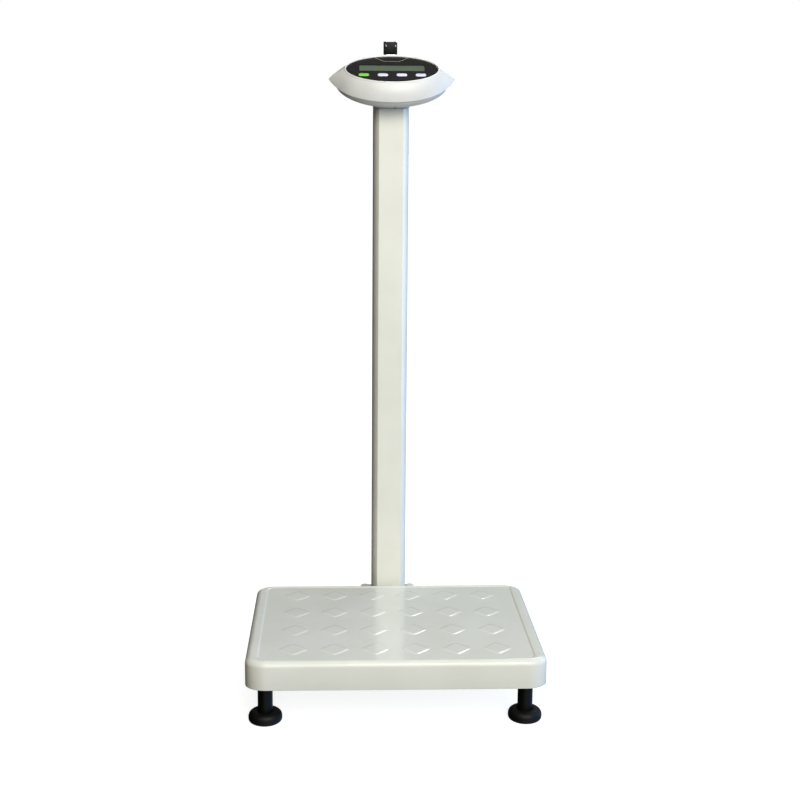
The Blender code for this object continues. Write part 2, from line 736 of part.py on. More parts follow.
def make_upper_shell(head):
    """The white cover: from its rim up the flank, over the bezel, round the ledge and back down inside."""
    rim = eared_rim(RIM_W, EAR_RISE)
    top = ellipse(TOP_A, TOP_B, TOP_W)
    flank = [blend_loops(rim, top, i / 4, 0.0016) for i in range(5)]
    opening = (PANEL_A + GAP, PANEL_B + GAP)
    ledge_top = TOP_W - PANEL_T - 2 * GAP - 0.0003
    ledge = (opening[0] - LEDGE, opening[1] - LEDGE)
    inside = (RIM_A - SHELL_T - 0.0003, RIM_B - SHELL_T - 0.0003)
    loops = flank + [
        ellipse(*opening, TOP_W),
        ellipse(*opening, ledge_top),
        ellipse(*ledge, ledge_top),
        ellipse(*ledge, ledge_top - PANEL_T),
        ellipse(ledge[0] + 0.0022, ledge[1] + 0.0022, ledge_top - PANEL_T),
        ellipse(*inside, GAP),
        ellipse(RIM_A - 0.0004, RIM_B - 0.0004, GAP),
    ]
    make_object("upper_shell", skin(loops, ring=True), "white_abs", head)
    return ledge_top + GAP


def bowl():
    """The lower shell before its openings are cut."""
    inner = bowl_loops(BOWL_A - SHELL_T, BOWL_B - SHELL_T, BOWL_C - SHELL_T, 6)
    outer = bowl_loops(BOWL_A, BOWL_B, BOWL_C, 6)
    return skin(inner[::-1] + outer)


def bowl_depth(u, v):
    """How far the lower shell's outside lies below the parting plane at (u, v)."""
    return BOWL_C * math.sqrt(1 - (u / BOWL_A) ** 2 - (v / BOWL_B) ** 2)


def make_lower_shell(head):
    """The lower shell with its battery opening, and the door cut from the same bowl."""
    shell = make_object("lower_shell", bowl(), "white_abs", head)
    left, right, half = DOOR
    deep = BOWL_C + 0.01
    combine(shell, "DIFFERENCE", block((left, -half, -deep), (right, half, 0.001 - SHELL_T)), head)
    cable = rod((0, COLUMN_MID_Y, HEAD_HEIGHT - 0.06), (0, COLUMN_MID_Y, HEAD_HEIGHT), CABLE_HOLE_R)
    bmesh.ops.transform(cable, matrix=head_matrix().inverted(), verts=cable.verts)
    combine(shell, "DIFFERENCE", cable, head)
    door = make_object("battery_door", bowl(), "white_abs", head, at=((left + right) / 2, 0, -BOWL_C))
    inset = 1.5 * GAP
    prism = block((left + inset, -half + inset, -deep), (right - inset, half - inset, 0.001 - SHELL_T))
    combine(door, "INTERSECT", prism, head)
    return shell


def make_face(head, low):
    """The dark oval panel with the display window and the four keys in it, and what lies behind them."""
    top = low + PANEL_T
    oval = skin([ellipse(PANEL_A, PANEL_B, w) for w in (low, top)])
    panel = make_object("face_panel", oval, "panel_film", head)
    width, height = WINDOW
    hole = rounded_prism(width, height, 0.001, low - 0.01, top + 0.01, 0, WINDOW_V, 2)
    key_us = [(i - 1.5) * KEY_PITCH for i in range(4)]
    holes = [hole]
    for u in key_us:
        holes.append(
            rounded_prism(KEY[0] + 2 * GAP, KEY[1] + 2 * GAP, 0.0025, low - 0.01, top + 0.01, u, KEY_V, 4)
        )
    combine(panel, "DIFFERENCE", merged(*holes), head)
    glass = rounded_prism(
        width - 2 * GAP, height - 2 * GAP, 0.0008, low, top - 0.0004, 0, WINDOW_V, 2
    )
    make_object("display_window", glass, "display_glass", head)
    module_top = low - 0.003
    low_corner = (-0.047, WINDOW_V - 0.012, module_top - 0.0045)
    high_corner = (0.047, WINDOW_V + 0.012, module_top)
    make_object("lcd_module", soft_block(low_corner, high_corner, 0.0005, 1), "battery_wrap", head)
    board_top = module_top - 0.006
    board = block((-0.022, -0.020, board_top - 0.0016), (0.048, 0.020, board_top))
    make_object("circuit_board", board, "circuit_green", head)
    for name, u in zip(KEY_NAMES, key_us):
        colour = "key_green" if name == "key_power" else "key_white"
        foot = board_top + 0.0015
        loops = [rounded_rect(*KEY, 0.0022, w, u, KEY_V, 4) for w in (foot, top + KEY_PROUD - 0.0004)]
        loops.append(
            rounded_rect(KEY[0] - 0.0008, KEY[1] - 0.0008, 0.0018, top + KEY_PROUD, u, KEY_V, 4)
        )
        make_object(name, skin(loops), colour, head, at=(u, KEY_V, top))


def make_fittings(head, shell):
    """Battery, power socket and case screw, in the lower shell."""
    battery = soft_block((-0.050, -0.022, -0.009), (-0.024, 0.022, 0.006), 0.002, 2)
    make_object("battery_pack", battery, "battery_wrap", head)
    u, v = 0.045, -0.005
    outside = -bowl_depth(u, v)
    socket = make_object(
        "power_socket", rod((u, v, outside - 0.001), (u, v, outside + 0.009), 0.0045, 24), "black_abs", head
    )
    combine(socket, "DIFFERENCE", rod((u, v, outside - 0.01), (u, v, outside + 0.007), 0.0028, 20), head)
    combine(shell, "DIFFERENCE", rod((u, v, outside - 0.01), (u, v, outside + 0.012), 0.0045 + GAP, 24), head)
    u, v = 0.004, -0.0372
    outside = -bowl_depth(u, v)
    make_object(
        "case_screw", rod((u, v, outside - 0.0002), (u, v, outside + 0.009), 0.0028, 20), "black_abs", head
    )
    combine(shell, "DIFFERENCE", rod((u, v, outside - 0.01), (u, v, outside + 0.012), 0.0028 + GAP, 20), head)


def make_head():
    head = bpy.data.objects.new("head_frame", None)
    bpy.context.scene.collection.objects.link(head)
    head.matrix_world = head_matrix()
    panel_low = make_upper_shell(head)
    shell = make_lower_shell(head)
    make_face(head, panel_low)
    make_fittings(head, shell)


# --- Height rod ---------------------------------------------------------------


def make_rod_tubes():
    """Three square tubes, one in another, and a collar on top of each of the two outer ones."""
    for name, side, wall, low, high in TUBES:
        bm = rounded_tube(side, side, 0.0015, wall, low, high, 0, ROD_Y, steps=2)
        make_object(name, bm, "aluminium", at=(0, ROD_Y, low))
    collars = (("rod_outer_collar", TUBES[0], TUBES[1]), ("rod_middle_collar", TUBES[1], TUBES[2]))
    for name, tube, inner in collars:
        outside = tube[1] + 0.003
        wall = (outside - inner[1]) / 2 - GAP
        low = tube[4] + GAP
        bm = rounded_tube(outside, outside, wall, wall, low, low + COLLAR_H, 0, ROD_Y, steps=3)
        make_object(name, bm, "black_abs", at=(0, ROD_Y, low))


def make_clamps():
    """Plastic clamps that hold the outer tube to the column's back."""
    front = COLUMN_REAR + GAP
    bore = TUBES[0][1] + 2 * GAP
    rear = ROD_Y + bore / 2 + 0.0022
    for name, z in CLAMP_HEIGHTS.items():
        clamp = make_object(
            name,
            soft_block((-0.0145, front, z - CLAMP_H / 2), (0.0145, rear, z + CLAMP_H / 2), 0.001, 1),
            "black_abs",
        )
        combine(clamp, "DIFFERENCE", rounded_prism(bore, bore, 0.0018, z - 0.02, z + 0.02, 0, ROD_Y, 2))


def make_cap():
    """The block on top of the rod, with a spigot in the inner tube and two lugs for the headpiece."""
    width, depth = CAP
    front = ROD_Y - 0.0095
    cap = make_object(
        "rod_cap",
        soft_block((-width / 2, front, CAP_BOTTOM), (width / 2, front + depth, CAP_TOP), 0.0007, 2),
        "black_abs",
        at=(0, ROD_Y, CAP_BOTTOM),
    )
    hole = TUBES[2][1] - 2 * TUBES[2][2] - 2 * GAP
    half = hole / 2
    spigot = block((-half, ROD_Y - half, CAP_BOTTOM - 0.015), (half, ROD_Y + half, CAP_BOTTOM + 0.002))
    combine(cap, "UNION", spigot)
    back = front + depth - 0.003
    outline = [(back, PIVOT_Z - LUG_R)]
    outline += arc((PIVOT_Y, PIVOT_Z), LUG_R, -90, 90, 10)
    outline.append((back, CAP_TOP - 0.002))
    for side in (-1, 1):
        ends = (side * (width / 2 - LUG_T), side * (width / 2 - 0.0003))
        combine(cap, "UNION", skin([[(x, y, z) for y, z in outline] for x in ends]))
    combine(cap, "DIFFERENCE", rod((-0.02, PIVOT_Y, PIVOT_Z), (0.02, PIVOT_Y, PIVOT_Z), PIN_R + GAP, 16))
    reach = width / 2 - 0.0002
    pin = rod((-reach, PIVOT_Y, PIVOT_Z), (reach, PIVOT_Y, PIVOT_Z), PIN_R, 16)
    make_object("hinge_pin", pin, "zinc_steel", at=(0, PIVOT_Y, PIVOT_Z))


def plate_outline():
    """The headpiece hanging down: half widths at distances below the pivot, as (x, z) points."""
    narrow = PLATE_NECK_W / 2
    wide = PLATE_W / 2
    corner = 0.008
    right = [(narrow, 0.0), (narrow, -PLATE_NECK), (wide, -PLATE_NECK - 0.010)]
    right += arc((wide - corner, -PLATE_LENGTH + corner), corner, 0, -90, 5)
    left = [(-x, z) for x, z in reversed(right)]
    return [(x, PIVOT_Z + z) for x, z in right + left]


def make_headpiece():
    """A flat bar with turned edges that folds down behind the rod, on a knuckle between the cap's lugs."""
    outline = plate_outline()
    loops = [[(x, y, z) for x, z in outline] for y in (PLATE_REAR - PLATE_T, PLATE_REAR)]
    plate = make_object("head_plate", skin(loops), "black_abs", at=(0, PIVOT_Y, PIVOT_Z))
    half = PLATE_NECK_W / 2
    combine(plate, "UNION", rod((-half, PIVOT_Y, PIVOT_Z), (half, PIVOT_Y, PIVOT_Z), LUG_R - GAP, 20))
    edge_top = PIVOT_Z - PLATE_NECK - 0.012
    edge_low = PIVOT_Z - PLATE_LENGTH + 0.010
    front = PLATE_REAR - PLATE_T - PLATE_FLANGE
    for side in (-1, 1):
        xs = sorted((side * PLATE_W / 2, side * (PLATE_W / 2 - 0.0016)))
        combine(plate, "UNION", block((xs[0], front, edge_low), (xs[1], PLATE_REAR - 0.0005, edge_top)))
    combine(plate, "DIFFERENCE", rod((-0.02, PIVOT_Y, PIVOT_Z), (0.02, PIVOT_Y, PIVOT_Z), PIN_R + GAP, 16))


def main():
    for obj in list(bpy.data.objects):
        bpy.data.objects.remove(obj)
    make_pan()
    make_base()
    for tag, sx, sy in CORNERS:
        make_foot(tag, sx * FOOT_X, FOOT_REAR_Y if sy > 0 else FOOT_FRONT_Y)
    make_spider(make_load_cell())
    make_column(make_flange(make_bracket()))
    make_neck()
    make_cable(RAIL_Z + SPACER_LOW + CELL[2] / 2)
    make_head()
    make_rod_tubes()
    make_clamps()
    make_cap()
    make_headpiece()


main()
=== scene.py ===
"""Column body scale: the fine surfaces, finishes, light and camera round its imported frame.

Metres, +Z up, front towards -Y, origin on the floor under the middle of the scale.
"""

import json

import bmesh
import bpy
import numpy as np
from mathutils import Matrix, Vector


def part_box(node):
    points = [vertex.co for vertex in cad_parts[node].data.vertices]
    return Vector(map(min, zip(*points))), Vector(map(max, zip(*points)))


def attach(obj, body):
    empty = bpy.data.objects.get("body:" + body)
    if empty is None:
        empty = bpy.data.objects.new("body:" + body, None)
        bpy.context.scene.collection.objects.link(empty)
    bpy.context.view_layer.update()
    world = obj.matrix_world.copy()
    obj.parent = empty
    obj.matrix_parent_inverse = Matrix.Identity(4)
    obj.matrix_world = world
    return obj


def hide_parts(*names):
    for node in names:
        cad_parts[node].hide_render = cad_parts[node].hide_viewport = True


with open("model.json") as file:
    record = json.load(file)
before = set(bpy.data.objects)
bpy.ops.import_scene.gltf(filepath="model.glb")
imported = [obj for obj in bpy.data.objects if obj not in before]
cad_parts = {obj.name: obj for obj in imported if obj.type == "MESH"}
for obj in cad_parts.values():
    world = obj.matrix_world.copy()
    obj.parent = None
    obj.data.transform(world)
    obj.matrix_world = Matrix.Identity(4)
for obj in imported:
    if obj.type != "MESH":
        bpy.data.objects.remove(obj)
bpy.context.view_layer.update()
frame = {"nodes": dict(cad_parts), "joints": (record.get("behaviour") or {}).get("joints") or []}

TAU = 2 * np.pi
GAP = 0.0003  # between pieces that touch on the real scale
CORNERS = ("front_left", "front_right", "rear_left", "rear_right")
HERE = Matrix()  # leaves a shape where it is


# --- Shapes ---


def lattice(points, matrix=HERE, ring=False):
    """Quads between neighbours in a grid of points whose columns close on themselves, moved by a matrix.
    With ring the rows close too, else the first and the last row are each filled by one face."""
    rows, columns = points.shape[:2]
    index = np.arange(rows * columns).reshape(rows, columns)
    low = index if ring else index[:-1]
    high = np.roll(index, -1, axis=0) if ring else index[1:]
    quads = np.stack([low, np.roll(low, -1, axis=1), np.roll(high, -1, axis=1), high], axis=-1)
    faces = quads.reshape(-1, 4).tolist()
    if not ring:
        faces += [index[0].tolist(), index[-1].tolist()]
    return place(points.reshape(-1, 3), matrix), faces


def place(points, matrix):
    """The points turned and moved by a 4 x 4 matrix."""
    m = np.array(matrix)
    return points @ m[:3, :3].T + m[:3, 3]


def shift(x=0.0, y=0.0, z=0.0):
    return Matrix.Translation((x, y, z))


def turn(degrees, axis):
    return Matrix.Rotation(np.radians(degrees), 4, axis)


def circle(columns):
    """Angles evenly round one turn."""
    return TAU * np.arange(columns) / columns


def grid(x, y, z):
    """Points from their three coordinates, each stretched to the shape that they share."""
    return np.stack(np.broadcast_arrays(x, y, z), axis=-1)


def around(radius, angle, z):
    """Points at those radii and angles about Z."""
    return grid(radius * np.cos(angle), radius * np.sin(angle), z)


def rect_rows(width, depth, corner, inset, z, steps=8, bend=90):
    """One rounded rectangle per row. Row i is drawn in by inset[i] and lies at z[i]: straight sides,
    and four arcs whose radius is the corner's less the inset. Arcs that bend less than 90 degrees
    leave the two ends along X smoothly and meet the front and back at a crease."""
    column = np.arange(4 * (steps + 1))
    quarter = column // (steps + 1)
    share = column % (steps + 1) / steps
    bend = np.radians(bend)
    angle = np.pi / 2 * quarter + bend * share + np.where(quarter % 2, np.pi / 2 - bend, 0)
    sign_x = np.array([1, -1, -1, 1])[quarter]
    sign_y = np.array([1, 1, -1, -1])[quarter]
    inset = np.asarray(inset, float)[:, None]
    radius = np.maximum(corner - inset, 0.0002)
    x = sign_x * (width / 2 - inset - radius) + radius * np.cos(angle)
    y = sign_y * (depth / 2 - inset - radius * np.sin(bend)) + radius * np.sin(angle)
    return grid(x, y, np.asarray(z, float)[:, None])


def soft_profile(low, high, edge, steps=4):
    """Inset and height from the middle of the underside, round a quarter circle, up the side and
    round another one to the top. A narrow flat ring inside each rounding keeps the faces' shading flat."""
    a = np.linspace(0, np.pi / 2, steps + 1)
    inset = np.concatenate([[1.5 * edge], edge * (1 - np.sin(a))])
    rise = np.concatenate([[0], edge * (1 - np.cos(a))])
    return np.concatenate([inset, inset[::-1]]), np.concatenate([low + rise, high - rise[::-1]])


def hollow_profile(wall, low, high, edge):
    """Inset and height round the wall of an open tube, its four rims broken by a small chamfer."""
    inset = [edge, 0, 0, edge, wall - edge, wall, wall, wall - edge]
    z = [low, low + edge, high - edge, high, high, high - edge, low + edge, low]
    return np.array(inset), np.array(z)


def slab(width, depth, corner, low, high, edge, steps=8, matrix=HERE):
    """A solid plate or block with rounded corners in plan and rounded rims."""
    return lattice(rect_rows(width, depth, corner, *soft_profile(low, high, edge), steps), matrix)


def square_tube(width, depth, corner, wall, low, high, edge=0.0003, steps=8, matrix=HERE, bend=90):
    """A rectangular tube with rounded corners, open at both ends."""
    points = rect_rows(width, depth, corner, *hollow_profile(wall, low, high, edge), steps, bend)
    return lattice(points, matrix, ring=True)


def turned(radius, z, matrix=HERE, columns=64):
    """A profile of radii and heights turned once round Z. The ends are filled."""
    radius = np.maximum(np.asarray(radius, float), 0.0001)[:, None]
    return lattice(around(radius, circle(columns), np.asarray(z)[:, None]), matrix)


def quarter(centre_r, centre_z, radius, start, end, steps=6):
    """Radii and heights on an arc from start to end degrees."""
    a = np.radians(np.linspace(start, end, steps + 1))
    return centre_r + radius * np.cos(a), centre_z + radius * np.sin(a)


def hexagon(across, limits):
    """Angles and radii of a hexagon, one row per limit. Each radius is the smaller of the hexagon's, flat
    distance over the cosine of the angle to the nearest flat, and a chamfer circle's, limit times across."""
    angle = circle(72)
    flat = across / 2 / np.cos((angle + np.pi / 6) % (np.pi / 3) - np.pi / 6)
    return angle, np.minimum(flat, across * np.array(limits)[:, None])


def hexagon_bolt(across, low, high, matrix, washer=0.0):
    """A hexagon head whose chamfer closes in towards the top. A disc of radius washer lies under it."""
    angle, radius = hexagon(across, (0.56, 0.60, 0.60, 0.565, 0.51, 0.30))
    z = low + (high - low) * np.array([0, 0, 0.72, 0.86, 1, 1])
    parts = [lattice(around(radius, angle, z[:, None]), matrix)]
    if washer:
        inset, z = soft_profile(low - 0.0008, low + 0.0001, 0.0002, 2)
        parts.append(turned(washer - inset, z, matrix, 48))
    return parts


def hexagon_nut(across, bore, low, high, matrix):
    """A hexagon nut, chamfered at both ends, with a round bore."""
    angle, radius = hexagon(across, (0.5, 0.56, 0.6, 0.6, 0.56, 0.5))
    radius = np.vstack([radius, np.full((2, len(angle)), bore)])
    z = np.interp([0, 0.06, 0.14, 0.86, 0.94, 1, 1, 0], [0, 1], [low, high])
    return lattice(around(radius, angle, z[:, None]), matrix, ring=True)


def thread(radius, low, high, pitch, depth, matrix):
    """A screw thread on a grid of angle and height. The radius falls by a triangle wave of height over pitch
    less the turn's share, so the crest climbs one pitch a turn, and it closes in at both ends."""
    angle = circle(48)
    z = np.linspace(low, high, int((high - low) / pitch * 8) + 1)[:, None]
    phase = (z / pitch - angle / TAU) % 1
    end = np.clip(np.minimum(z - low, high - z) / pitch, 0, 1)
    r = radius - depth * (1 - end) - depth * np.abs(2 * phase - 1) * end
    return lattice(around(r, angle, z), matrix)


def swept(path, half_wide, half_high, side, columns=16, power=2.0):
    """A section carried along a path of points. The section is a superellipse: cosine and sine raised to
    two over power, so 2 is round and 6 nearly square. side is the direction that its width starts from."""
    path = np.asarray(path, float)
    along = np.gradient(path, axis=0)
    along /= np.linalg.norm(along, axis=1, keepdims=True)
    across = np.cross(np.asarray(side, float), along)
    across /= np.linalg.norm(across, axis=1, keepdims=True)
    up = np.cross(along, across)
    angle = circle(columns)
    c, s = (np.sign(v) * np.abs(v) ** (2 / power) for v in (np.cos(angle), np.sin(angle)))
    section = half_wide * c[None, :, None] * across[:, None] + half_high * s[None, :, None] * up[:, None]
    return lattice(path[:, None] + section)


def ellipse_rows(a, b, w, columns=192):
    """One ellipse per row with half axes a[i] and b[i] at height w[i]."""
    a, b, w = (np.asarray(v, float)[:, None] for v in (a, b, w))
    return grid(a * np.cos(circle(columns)), b * np.sin(circle(columns)), w)


def carve(obj, shells, operation="DIFFERENCE"):
    """Cuts closed shells out of a piece, or keeps what they share, and puts the result in its mesh."""
    for shell in shells:
        cutter = bare_object("cutter", [shell])
        step = obj.modifiers.new("carve", "BOOLEAN")
        step.operation = operation
        step.solver = "EXACT"
        step.object = cutter
        graph = bpy.context.evaluated_depsgraph_get()
        mesh = bpy.data.meshes.new_from_object(obj.evaluated_get(graph))
        obj.modifiers.clear()
        obj.data = mesh
        bpy.data.objects.remove(cutter)
    smooth(obj)


def smooth(obj, degrees=32):
    obj.data.shade_smooth()
    obj.data.set_sharp_from_angle(angle=np.radians(degrees))


def bare_object(name, shells):
    """One mesh from closed shells of (points, faces), its faces pointing out."""
    points, faces, start = [], [], 0
    for shell_points, shell_faces in shells:
        points.append(shell_points)
        faces += [[i + start for i in face] for face in shell_faces]
        start += len(shell_points)
    mesh = bpy.data.meshes.new(name)
    mesh.from_pydata(np.vstack(points), [], faces)
    bm = bmesh.new()
    bm.from_mesh(mesh)
    bmesh.ops.recalc_face_normals(bm, faces=bm.faces)
    bm.to_mesh(mesh)
    bm.free()
    obj = bpy.data.objects.new(name, mesh)
    bpy.context.scene.collection.objects.link(obj)
    return obj


def piece(name, shells, finish, *nodes, body="scale_frame", degrees=32):
    """A visible piece that rides on a body, takes its finish's material, and stands for CAD nodes."""
    slot, material = finish
    obj = bare_object(name, shells)
    smooth(obj, degrees)
    obj.data.materials.append(material)
    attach(obj, body)
    if nodes:
        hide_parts(*nodes)
    return obj


def middle(node):
    low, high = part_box(node)
    return (low + high) / 2


def half_width(node):
    low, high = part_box(node)
    return (high.x - low.x) / 2


# --- Finishes ---


def linear(hex_colour):
    """An sRGB hex colour as the linear RGBA that a shader takes."""
    srgb = np.array([int(hex_colour[i : i + 2], 16) for i in (0, 2, 4)]) / 255
    rgb = np.where(srgb <= 0.04045, srgb / 12.92, ((srgb + 0.055) / 1.055) ** 2.4)
    return (*rgb.tolist(), 1.0)


def add(tree, kind, inputs=None, **settings):
    """A node with its settings, and its inputs set from values or linked from other nodes' sockets."""
    node = tree.nodes.new(kind)
    for name, value in settings.items():
        setattr(node, name, value)
    for key, value in (inputs or {}).items():
        if isinstance(value, bpy.types.NodeSocket):
            tree.links.new(value, node.inputs[key])
        else:
            node.inputs[key].default_value = value
    return node


def start_finish(name, roughness, metallic=0.0, ior=1.5, **more):
    """A new material's tree, its Principled shader and its Object coordinates."""
    material = bpy.data.materials.new(name)
    material.use_nodes = True
    tree = material.node_tree
    shader = tree.nodes["Principled BSDF"]
    for key, value in {"Roughness": roughness, "Metallic": metallic, "IOR": ior, **more}.items():
        shader.inputs[key.replace("_", " ")].default_value = value
    where = add(tree, "ShaderNodeTexCoord").outputs["Object"]
    return material, tree, shader, where


def remap(tree, value, start, end, low=0.0, high=1.0, **settings):
    """The value's span from start to end spread over the span from low to high."""
    inputs = {"Value": value, "From Min": start, "From Max": end, "To Min": low, "To Max": high}
    return add(tree, "ShaderNodeMapRange", inputs, **settings).outputs["Result"]


def blend(tree, share, first, second):
    """A colour between two, each a value or another node's socket."""
    return add(tree, "ShaderNodeMix", {0: share, 6: first, 7: second}, data_type="RGBA").outputs[2]


def calculate(tree, operation, *values):
    """A math node's result."""
    return add(tree, "ShaderNodeMath", dict(enumerate(values)), operation=operation).outputs[0]


def mottle(tree, where, shader, light, dark, size_mm):
    """Base colour between two close shades, by noise of that size."""
    cloud = add(tree, "ShaderNodeTexNoise", {"Vector": where, "Scale": 1000 / size_mm, "Detail": 3.0})
    share = remap(tree, cloud.outputs["Fac"], 0.35, 0.65)
    colour = blend(tree, share, linear(dark), linear(light))
    tree.links.new(colour, shader.inputs["Base Color"])
    return colour


def grain(tree, where, shader, size_mm, height_mm, stretch=(1, 1, 1), detail=2.0, rough=None, below=None):
    """A bump of noise of that size and height, drawn out along an axis by stretch. rough is the span of
    roughness that the same noise gives. below is a bump that this one lies on."""
    where = add(tree, "ShaderNodeMapping", {"Vector": where, "Scale": stretch}).outputs["Vector"]
    inputs = {"Vector": where, "Scale": 1000 / size_mm, "Detail": detail}
    noise = add(tree, "ShaderNodeTexNoise", inputs).outputs["Fac"]
    inputs = {"Height": noise, "Distance": height_mm / 1000, "Strength": 1.0}
    if below is not None:
        inputs["Normal"] = below
    bump = add(tree, "ShaderNodeBump", inputs).outputs["Normal"]
    tree.links.new(bump, shader.inputs["Normal"])
    if rough:
        tree.links.new(remap(tree, noise, 0.3, 0.7, *rough), shader.inputs["Roughness"])
    return bump


def powder_coat(name, light, dark, peel_mm, peel_height, rough):
    """Polyester powder coat: a thick glossy skin with orange peel, whose soft waves of a few millimetres
    make reflected edges swim a little, and a faint change of shade where the coat is thicker."""
    material, tree, shader, where = start_finish(name, rough[0])
    mottle(tree, where, shader, light, dark, 60)
    waves = grain(tree, where, shader, 9.0, peel_height * 2)
    grain(tree, where, shader, peel_mm, peel_height, rough=rough, below=waves)
    return material


def moulded(name, light, dark, grit_mm, height_mm, rough, ior=1.5, **more):
    """A moulded plastic or rubber: a spark-eroded grain, drawn about three times its real size so that it
    shows, over flow marks some tens of millimetres long."""
    material, tree, shader, where = start_finish(name, rough[0], ior=ior, **more)
    mottle(tree, where, shader, light, dark, 25)
    flow = grain(tree, where, shader, 14.0, height_mm)
    grain(tree, where, shader, grit_mm, height_mm, rough=rough, below=flow)
    return material


def drawn_metal(name, light, dark, stretch, rough, line_mm=0.5):
    """Bare metal with fine lines along the way it was drawn, milled or brushed."""
    material, tree, shader, where = start_finish(name, rough[0], metallic=1.0)
    mottle(tree, where, shader, light, dark, 30)
    grain(tree, where, shader, line_mm, 0.006, stretch=stretch, rough=rough, detail=4.0)
    return material


# A finish is a slot and the material that fills it.
DULL = {"Specular_IOR_Level": 0.25}
IVORY = ("ivory_paint", powder_coat("gloss_ivory_powder_coat", "ecebde", "e7e6d8", 2.2, 0.003, (0.07, 0.12)))
GREY = ("grey_paint", powder_coat("satin_grey_powder_coat", "8b8c8b", "828382", 1.2, 0.02, (0.38, 0.5)))
SHELL = ("white_abs", moulded("moulded_white_abs", "d8d7d2", "d2d1cb", 0.9, 0.006, (0.30, 0.38)))
# A darker copy of the cover's white ABS for the parts under the head: the lower shell, battery cover, its
# ribs and the neck. Its colour paints shade.
SHADED_BOWL = ("white_abs", moulded("white_abs_with_painted_shade", "cfcdc5", "c8c6bd", 0.9, 0.006, (0.32, 0.42)))
# A lighter copy of the cover's white ABS for the bead round the panel: its lower roughness is real, and its
# colour paints a highlight.
POLISHED_WITH_HIGHLIGHT = ("white_abs", moulded("polished_abs_painted_highlight", "f6f6f3", "f0f0ec", 0.9, 0.002, (0.12, 0.18)))
BLACK = ("black_abs", moulded("moulded_black_nylon", "0f0f0e", "090908", 0.8, 0.012, (0.34, 0.46), **DULL))
HINGE_BLACK = (
    "black_abs",
    moulded("moulded_black_acetal", "060606", "030303", 0.7, 0.005, (0.30, 0.42), Specular_IOR_Level=0.12),
)
RUBBER = ("black_rubber", moulded("nitrile_rubber", "0d0d0b", "080807", 0.7, 0.02, (0.44, 0.62), **DULL))
FILM = (
    "panel_film",
    moulded("polyester_overlay_film", "242122", "1f1d1e", 0.5, 0.003, (0.20, 0.27), Specular_IOR_Level=0.4),
)
PRINT = ("panel_film", moulded("screen_printed_tan_ink", "9a917d", "8c846f", 0.5, 0.002, (0.35, 0.45)))
KEY_GREEN = ("key_green", moulded("green_silicone_key", "86dc4b", "79d23f", 0.6, 0.006, (0.38, 0.5), 1.41))
KEY_WHITE = ("key_white", moulded("white_silicone_key", "e4e5f4", "dadbec", 0.6, 0.006, (0.38, 0.5), 1.41))
FOAM = ("black_rubber", moulded("cellular_rubber_gasket", "2f302f", "222322", 0.6, 0.05, (0.7, 0.85)))
POTTING = ("white_abs", moulded("white_silicone_potting", "d8d8d2", "c6c6bf", 2.5, 0.15, (0.3, 0.45), 1.41))
ZINC = ("zinc_steel", drawn_metal("zinc_plated_steel", "c3c7c6", "a9a99c", (1, 1, 1), (0.26, 0.42), 1.5))
MILLED = ("aluminium", drawn_metal("milled_aluminium", "c2c4c6", "adafb1", (1, 0.05, 1), (0.28, 0.42), 0.8))
PVC = moulded("black_pvc_jacket", "232323", "191919", 0.8, 0.01, (0.4, 0.55))
SHRINK = moulded("battery_shrink_wrap", "34404e", "2a3440", 1.2, 0.01, (0.22, 0.34))


def display_finish():
    """A reflective liquid crystal behind a clear window: grey-green, with the fine columns of its
    electrodes drawn 1.1 mm apart so that they show, under a glossy cover."""
    material, tree, shader, where = start_finish(
        "liquid_crystal_window", 0.22, Coat_Weight=0.4, Coat_Roughness=0.05
    )
    colour = mottle(tree, where, shader, "5f6c5b", "576553", 40)
    columns = add(
        tree, "ShaderNodeTexWave", {"Vector": where, "Scale": 90.0}, wave_type="BANDS", bands_direction="X"
    )
    share = remap(tree, columns.outputs["Fac"], 0.0, 1.0, 0.0, 0.10)
    tree.links.new(blend(tree, share, colour, linear("53604f")), shader.inputs["Base Color"])
    return material


def board_finish():
    """Solder mask over copper tracks: darker green cells with lighter lines 2 mm apart."""
    material, tree, shader, where = start_finish("solder_masked_board", 0.3)
    inputs = {"Vector": where, "Scale": 60.0, "Mortar Size": 0.03, "Mortar": linear("2f8a58")}
    inputs.update({"Color1": linear("17643c"), "Color2": linear("135433")})
    cells = add(tree, "ShaderNodeTexBrick", inputs)
    tree.links.new(cells.outputs["Color"], shader.inputs["Base Color"])
    grain(tree, where, shader, 1.0, 0.02, rough=(0.25, 0.4))
    return material


def rod_finish(name, face_x, rear_y):
    """Anodised extruded aluminium with fine lines along its length. On its right side, behind face_x and up
    to 2.2 mm from rear_y, a height scale is printed: a mark each 10 mm, longer ones each 50 and 100."""
    material, tree, shader, where = start_finish(name, 0.3, metallic=1.0)
    metal = mottle(tree, where, shader, "c9cbcd", "bcbec0", 30)
    grain(tree, where, shader, 0.45, 0.006, stretch=(1, 1, 0.02), rough=(0.26, 0.38), detail=4.0)
    x, y, z = add(tree, "ShaderNodeSeparateXYZ", {"Vector": where}).outputs
    margin_y = rear_y - 0.0022
    ink = 0.0
    for spacing, reach, thick in ((0.010, 0.0020, 0.0007), (0.050, 0.0038, 0.0009), (0.100, 0.0056, 0.0011)):
        line = calculate(tree, "LESS_THAN", calculate(tree, "WRAP", z, spacing, 0.0), thick)
        mark = calculate(tree, "MULTIPLY", line, calculate(tree, "GREATER_THAN", y, margin_y - reach))
        ink = calculate(tree, "MAXIMUM", ink, mark)
    for inside in (
        calculate(tree, "LESS_THAN", y, margin_y),
        calculate(tree, "GREATER_THAN", x, face_x - 0.0003),
    ):
        ink = calculate(tree, "MULTIPLY", ink, inside)
    tree.links.new(blend(tree, ink, metal, linear("17181a")), shader.inputs["Base Color"])
    return material


# --- Platform ---

